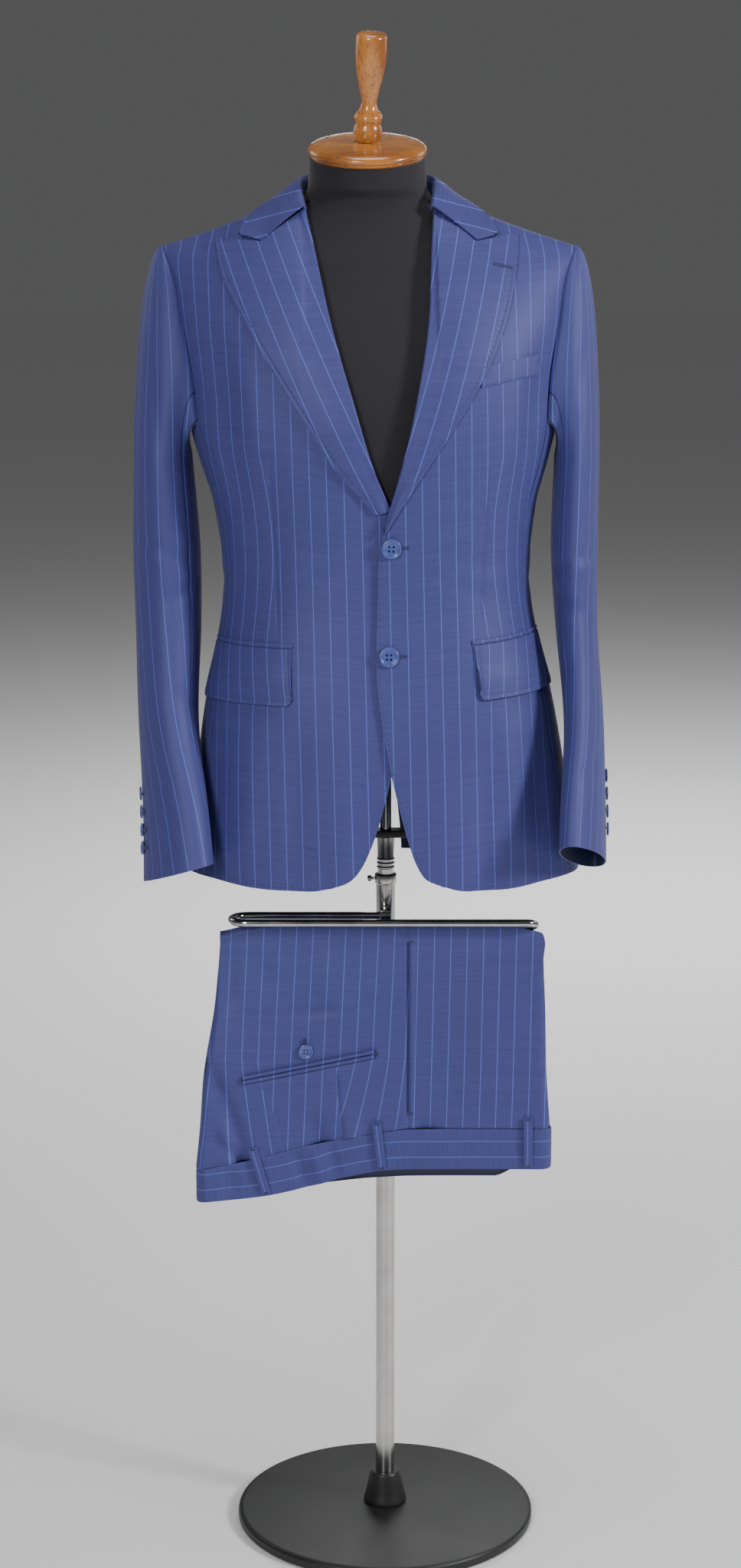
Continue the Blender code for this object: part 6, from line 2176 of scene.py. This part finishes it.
def rounded_edges(profile, reach=0.0005):
    """A profile with each inner corner cut to a small round."""
    rows = [profile[0]]
    for before, here, after in zip(profile, profile[1:], profile[2:]):
        a, b, c = (np.array(row) for row in (before, here, after))
        back = min(reach, np.linalg.norm(b - a) * 0.4)
        on = min(reach, np.linalg.norm(c - b) * 0.4)
        start = b + (a - b) / np.linalg.norm(a - b) * back
        end = b + (c - b) / np.linalg.norm(c - b) * on
        rows += [tuple(start), tuple((start + end) / 4 + b / 2), tuple(end)]
    return rows + [profile[-1]]


def make_stand():
    chrome, black = polished_metal(), satin_black()
    plate = (
        (0.0, BASE_RADIUS - 0.002), (0.0015, BASE_RADIUS), (BASE_THICKNESS - 0.003, BASE_RADIUS),
        (BASE_THICKNESS - 0.0008, BASE_RADIUS - 0.0018), (BASE_THICKNESS, BASE_RADIUS - 0.005),
        (BASE_THICKNESS + 0.004, 0.060),
    )
    foot = BASE_THICKNESS + 0.0043
    socket = (
        (foot, 0.0232), (foot + 0.001, 0.0240), (foot + 0.004, 0.0236), (foot + 0.012, 0.0212),
        (foot + 0.034, 0.0168), (foot + 0.036, 0.0150),
    )
    lower = ((foot + 0.0363, LOWER_TUBE_RADIUS), (TUBE_TOP_Z - 0.0003, LOWER_TUBE_RADIUS))
    ring = LOWER_TUBE_RADIUS + 0.0016
    clamp = ((TUBE_TOP_Z, ring - 0.0008), (TUBE_TOP_Z + 0.0008, ring), (TUBE_TOP_Z + 0.0102, ring),
             (TUBE_TOP_Z + 0.011, ring - 0.0008))
    upper = [(TUBE_TOP_Z + 0.0113, UPPER_TUBE_RADIUS)]
    ridge = UPPER_TUBE_RADIUS + 0.0007
    for low in (0.7500, 0.7545, 0.7590):
        upper += [(low, UPPER_TUBE_RADIUS), (low + 0.0006, ridge), (low + 0.0022, ridge)]
        upper += [(low + 0.0028, UPPER_TUBE_RADIUS)]
    upper.append((CROSSBAR_Z - 0.0043, UPPER_TUBE_RADIUS))
    rod = ((CROSSBAR_Z + 0.0043, ROD_RADIUS), (FORM_BOTTOM_Z - 0.0003, ROD_RADIUS))
    screw = ((0.0, 0.0016), (0.003, 0.0016), (0.0033, 0.0031), (0.0040, 0.0034), (0.0066, 0.0034),
             (0.0076, 0.0024))
    upright = Matrix.Identity(4)
    beside = Matrix.Translation((-(ring + 0.0003), 0, TUBE_TOP_Z + 0.0055))
    beside @= Matrix.Rotation(-math.pi / 2, 4, "Y")
    for name, node, profile, place, sides, slot, material in (
        ("base_plate", "stand_base", rounded_edges(plate), upright, 128, "black_metal", black),
        ("base_socket", "stand_socket", rounded_edges(socket, 0.001), upright, 64, "black_metal", black),
        ("pole_lower", "stand_lower_tube", lower, upright, 64, "chrome", chrome),
        ("pole_clamp", "stand_clamp", rounded_edges(clamp), upright, 64, "chrome", chrome),
        ("pole_upper", "stand_upper_tube", rounded_edges(upper, 0.0003), upright, 64, "chrome", chrome),
        ("pole_rod", "stand_rod", rod, upright, 48, "chrome", chrome),
        ("thumb_screw", "clamp_screw", screw, beside, 32, "chrome", chrome),
    ):
        turn_piece(name, node, profile, place, sides, slot, material)
    make_bar("cross_plate", "crossbar", (2 * CROSSBAR_HALF, 0.020, 0.008), (0, 0, CROSSBAR_Z), "black_metal",
             black)
    near, far = -(LOWER_TUBE_RADIUS + 0.0003), BAR_BACK_Y - LUG_HALF_WIDTH
    make_bar("rail_lug", "bar_lug", (2 * LUG_HALF_WIDTH, near - far, 2 * LUG_HALF_HEIGHT),
             (0, (near + far) / 2, BAR_Z), "chrome", chrome)
    make_rail(chrome)


def make_bar(name, node, size, centre, slot, material):
    """A bar with rounded edges."""
    nothing_selected()
    bpy.ops.mesh.primitive_cube_add(size=1, location=centre)
    piece = bpy.context.object
    piece.scale = size
    bpy.ops.object.transform_apply(location=True, rotation=True, scale=True)
    apply_modifier(piece, "BEVEL", width=0.0014, segments=4, limit_method="ANGLE")
    smooth(settle(piece, name, slot, node, material), 50)


def make_rail(chrome):
    """The bent rod that the trousers hang on."""
    bend = (BAR_BACK_Y - BAR_FRONT_Y) / 2
    points = [Vector((-(LUG_HALF_WIDTH + 0.0003), BAR_BACK_Y, BAR_Z)), Vector((-0.08, BAR_BACK_Y, BAR_Z)),
              Vector((BAR_LEFT_X + bend + 0.01, BAR_BACK_Y, BAR_Z))]
    turn_centre = Vector((BAR_LEFT_X + bend, (BAR_BACK_Y + BAR_FRONT_Y) / 2, BAR_Z))
    points += arc_points(turn_centre, Vector((0, bend, 0)), Vector((-bend, 0, 0)), 0.1, math.pi, 24)
    front_end = Vector((BAR_RIGHT_X - 0.010, BAR_FRONT_Y, BAR_Z))
    lower_start = Vector((BAR_RIGHT_X - 0.010, LOWER_BAR_Y, LOWER_BAR_Z))
    half = (lower_start - front_end) / 2
    points += [Vector((BAR_LEFT_X + bend + 0.02, BAR_FRONT_Y, BAR_Z)), Vector((0.0, BAR_FRONT_Y, BAR_Z))]
    points += arc_points(front_end + half, -half, Vector((half.length, 0, 0)), 0.0, math.pi, 24)
    points.append(Vector((LOWER_BAR_END_X, LOWER_BAR_Y, LOWER_BAR_Z)))
    curve = bpy.data.curves.new("rail", "CURVE")
    curve.dimensions = "3D"
    spline = curve.splines.new("POLY")
    spline.points.add(len(points) - 1)
    for place, point in zip(spline.points, points):
        place.co = (*point, 1.0)
    curve.bevel_depth = BAR_RADIUS
    curve.bevel_resolution = 6
    curve.use_fill_caps = True
    rail = bpy.data.objects.new("rail", curve)
    bpy.context.scene.collection.objects.link(rail)
    select(rail)
    bpy.ops.object.convert(target="MESH")
    smooth(settle(bpy.context.object, "trouser_rail", "chrome", "trouser_bar", chrome), 50)


# Studio


# Lights: name, place, target, size, power
LIGHTS = (
    ("key", (3.0, -1.5, 2.4), (0.0, 0.0, 1.15), (0.6, 0.8), 108.0),
    ("fill", (-1.2, -3.0, 2.1), (0.0, 0.0, 1.15), (0.7, 1.3), 62.0),
    ("above", (0.0, -0.3, 3.2), (0.0, 0.0, 1.2), (1.0, 0.8), 14.0),
    ("behind", (0.7, 3.0, 2.4), (0.7, 3.6, 0.0), (2.4, 1.6), 90.0),
    ("back_left", (-2.6, 1.8, 2.4), (0.0, 0.0, 1.1), (1.4, 1.8), 12.0),
    ("back_right", (2.6, 1.8, 2.2), (0.0, 0.0, 1.0), (1.4, 1.8), 12.0),
)
FLOOR_RADIUS = 60.0
BACKDROP_GREY, BACKDROP_STRENGTH = (0.62, 0.62, 0.63, 1.0), 0.15


def light(name, place, target, size, power):
    lamp = bpy.data.lights.new(name, "AREA")
    lamp.shape = "RECTANGLE"
    lamp.size, lamp.size_y = size
    lamp.energy = power
    stand = bpy.data.objects.new(name, lamp)
    stand.location = place
    stand.rotation_euler = (Vector(target) - Vector(place)).to_track_quat("-Z", "Y").to_euler()
    bpy.context.scene.collection.objects.link(stand)


def set_studio():
    nothing_selected()
    bpy.ops.mesh.primitive_circle_add(vertices=96, radius=FLOOR_RADIUS, fill_type="NGON",
                                      location=(0, 0, -0.0005))
    floor = bpy.context.object
    floor.name = "studio_floor"
    floor.data.materials.append(floor_paint())
    world = bpy.data.worlds.new("studio")
    world.use_nodes = True
    backdrop = world.node_tree.nodes["Background"]
    backdrop.inputs["Color"].default_value = BACKDROP_GREY
    backdrop.inputs["Strength"].default_value = BACKDROP_STRENGTH
    bpy.context.scene.world = world
    for row in LIGHTS:
        light(*row)


def set_camera():
    lens = bpy.data.cameras.new("camera")
    lens.lens, lens.sensor_width = CAMERA_LENS, CAMERA_SENSOR
    camera = bpy.data.objects.new("camera", lens)
    camera.location = CAMERA_PLACE
    camera.rotation_euler = (math.pi / 2 - CAMERA_DOWN, 0, 0)
    bpy.context.scene.collection.objects.link(camera)
    bpy.context.scene.camera = camera


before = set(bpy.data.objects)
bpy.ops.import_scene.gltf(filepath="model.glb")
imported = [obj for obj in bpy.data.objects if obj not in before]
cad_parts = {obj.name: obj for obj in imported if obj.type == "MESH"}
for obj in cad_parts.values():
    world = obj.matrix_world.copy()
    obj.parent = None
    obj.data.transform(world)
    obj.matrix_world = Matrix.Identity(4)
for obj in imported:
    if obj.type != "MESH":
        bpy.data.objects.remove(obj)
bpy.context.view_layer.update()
set_camera()
cloth = Cloth()
sew_fronts(cloth)
sew_sides_and_backs(cloth)
sew_lapels(cloth)
sew_collar(cloth)
sew_jacket_pockets(cloth)
sew_sleeves(cloth)
sew_trousers(cloth)
sew_waistband(cloth)
sew_back_pocket(cloth)
lay_legs(cloth)
bar_tacks(sew_edges())
sew_buttons()
drape_form()
turn_wood()
make_stand()
set_studio()
